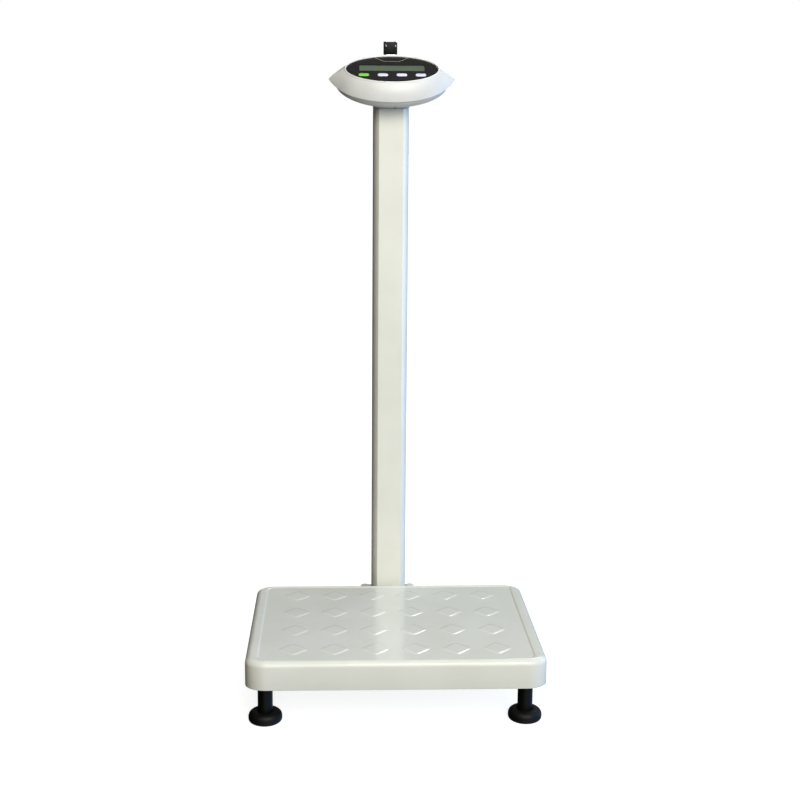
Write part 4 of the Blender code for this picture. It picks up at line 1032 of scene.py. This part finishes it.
def headpiece_surface():
    """The folded headpiece as a channel section carried down Z. Its half width is the neck's, then opens
    smoothly to the full width and closes in round the end's corners; its turned edges grow in depth the
    same way. Each row is one closed outline: across the back, round each edge and back along the front."""
    rear = pivot.y - 0.002
    below = pivot.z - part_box("head_plate")[0].z
    end = below - END_CORNER
    down = np.concatenate(
        [
            np.linspace(0, NECK_LENGTH, 6),
            np.linspace(0.0245, 0.0345, 14),
            np.linspace(0.036, end, 30),
            below - END_CORNER * (1 - np.sin(np.radians(np.linspace(8, 90, 12)))),
        ]
    )
    share = np.clip((down - NECK_LENGTH) / SHOULDER, 0, 1)
    share = share * share * (3 - 2 * share)
    corner = np.clip((down - end) / END_CORNER, 0, 1)
    half = NECK_HALF + (FULL_HALF - NECK_HALF) * share - END_CORNER * (1 - np.sqrt(1 - corner**2))
    fade = np.clip(down - (below - 0.022), 0, None) / 0.014
    soft = 0.0005
    front = rear - PLATE_T
    edge = front - FLANGE * share * np.sqrt(np.clip(1 - fade**2, 0, 1))
    inner = half - FLANGE_WALL
    half_x = [half - soft, half, half, half - soft, inner + soft, inner, inner, inner - soft]
    half_y = [rear, rear - soft, edge + soft, edge, edge, edge + soft, front - soft, front]
    half_y = [value + 0 * half for value in half_y]
    x = np.stack(half_x + [-c for c in half_x[::-1]], 1)
    y = np.minimum(np.stack(half_y + half_y[::-1], 1), rear)
    return grid(x, y, (pivot.z - down)[:, None])


inset, z = soft_profile(-NECK_HALF, NECK_HALF, 0.0004)
knuckle = turned(LUG_R - GAP - inset, z, along_x, 40)
shells = [lattice(headpiece_surface()), knuckle]
piece("folding_headpiece", shells, HINGE_BLACK, "head_plate", body="headpiece")


# --- Floor, light and camera ---


def studio():
    """A pale floor that turns to plain white far from the scale, a dark room with brighter sides and a white
    view for the camera, a big soft light in front, one near the head, one above, and windows at the rear and
    on the right."""
    scene = bpy.context.scene
    scene.view_settings.view_transform = "Standard"
    world = bpy.data.worlds.new("room")
    scene.world = world
    world.use_nodes = True
    tree = world.node_tree
    sight = add(tree, "ShaderNodeTexCoord").outputs["Generated"]
    sides = add(tree, "ShaderNodeSeparateXYZ", {"Vector": sight})
    colour = (0.03, 0.03, 0.028, 1)
    for axis, start, end, shade in (
        ("X", -0.30, -0.05, (0.15, 0.15, 0.145, 1)),
        ("Z", -0.05, -0.40, (0.74, 0.728, 0.68, 1)),
        ("Y", -0.35, -0.90, (0.42, 0.412, 0.385, 1)),
        ("X", 0.30, 0.70, (0.26, 0.42, 0.74, 1)),
        ("X", -0.05, -0.45, (0.012, 0.012, 0.010, 1)),
    ):
        share = remap(tree, sides.outputs[axis], start, end, interpolation_type="SMOOTHSTEP")
        colour = blend(tree, share, colour, shade)
    seen = add(tree, "ShaderNodeLightPath").outputs["Is Camera Ray"]
    tree.links.new(blend(tree, seen, colour, (1, 1, 1, 1)), tree.nodes["Background"].inputs["Color"])

    radius = np.array([0.001, 0.5, 1.0, 2.0, 4.0, 10.0, 40.0])[:, None]
    points, faces = lattice(around(radius, circle(96), 0.0))
    mesh = bpy.data.meshes.new("floor")
    mesh.from_pydata(points, [], faces[:-1])

    angle = TAU * np.arange(96) / 96
    rows = np.array([0.001, 0.5, 1.0, 2.0, 4.0, 10.0, 40.0])[:, None]
    points = np.stack([rows * np.cos(angle), rows * np.sin(angle), np.zeros((7, 96))], -1)
    index = np.arange(7 * 96).reshape(7, 96)
    quads = np.stack([index[:-1], np.roll(index[:-1], -1, 1), np.roll(index[1:], -1, 1), index[1:]], -1)
    mesh = bpy.data.meshes.new("floor")
    mesh.from_pydata(points.reshape(-1, 3), [], quads.reshape(-1, 4).tolist() + [index[0].tolist()])
    floor = bpy.data.objects.new("floor", mesh)
    scene.collection.objects.link(floor)
    material, tree, shader, where = start_finish(
        "pale_studio_floor", 0.8, Base_Color=(0.5, 0.5, 0.5, 1), Emission_Color=(1, 1, 1, 1)
    )
    far = add(tree, "ShaderNodeVectorMath", {0: where}, operation="LENGTH").outputs["Value"]
    glow = remap(tree, far, 0.3, 1.2, 0.84, 1.0, interpolation_type="SMOOTHSTEP")
    tree.links.new(glow, shader.inputs["Emission Strength"])
    mesh.materials.append(material)
    floor.visible_diffuse = False
    floor.visible_glossy = False

    for name, spot, aim, size, watts, colour in (
        ("front_softbox", (0.45, -2.0, 1.65), (0, 0, 0.5), (2.2, 1.7), 47, (1.0, 0.985, 0.935)),
        ("upper_softbox", (0.2, -1.0, 1.25), (0, 0.1, 0.74), (0.5, 0.35), 3.3, (1.0, 0.992, 0.96)),
        ("top_softbox", (0.1, -0.3, 2.6), (0, -0.1, 0), (1.2, 1.0), 6.5, (1.0, 0.992, 0.96)),
        ("rear_window", (0.75, 1.25, 1.4), (0, 0, 0.1), (0.9, 0.25), 5.0, (0.93, 0.97, 1.0)),
        ("right_window", (1.8, 0.25, 0.7), (0, 0, 0.5), (0.8, 1.6), 8, (0.34, 0.60, 1.0)),
    ):
        light = bpy.data.lights.new(name, "AREA")
        light.shape = "RECTANGLE"
        light.size, light.size_y = size
        light.energy = watts
        light.color = colour
        lamp = bpy.data.objects.new(name, light)
        lamp.location = spot
        lamp.rotation_euler = (Vector(aim) - Vector(spot)).to_track_quat("-Z", "Y").to_euler()
        lamp.visible_camera = False
        scene.collection.objects.link(lamp)

    camera = bpy.data.objects.new("camera", bpy.data.cameras.new("camera"))
    camera.data.lens = 59.18
    camera.data.shift_x = 0.0209
    camera.data.shift_y = -0.0567
    camera.data.sensor_width = 36
    camera.matrix_world = (
        Matrix.Translation((-0.0697, -1.7034, 0.7323))
        @ turn(-1.910, "Z")
        @ turn(90 - 9.658, "X")
        @ turn(0.301, "Z")
    )
    scene.collection.objects.link(camera)
    scene.camera = camera


studio()
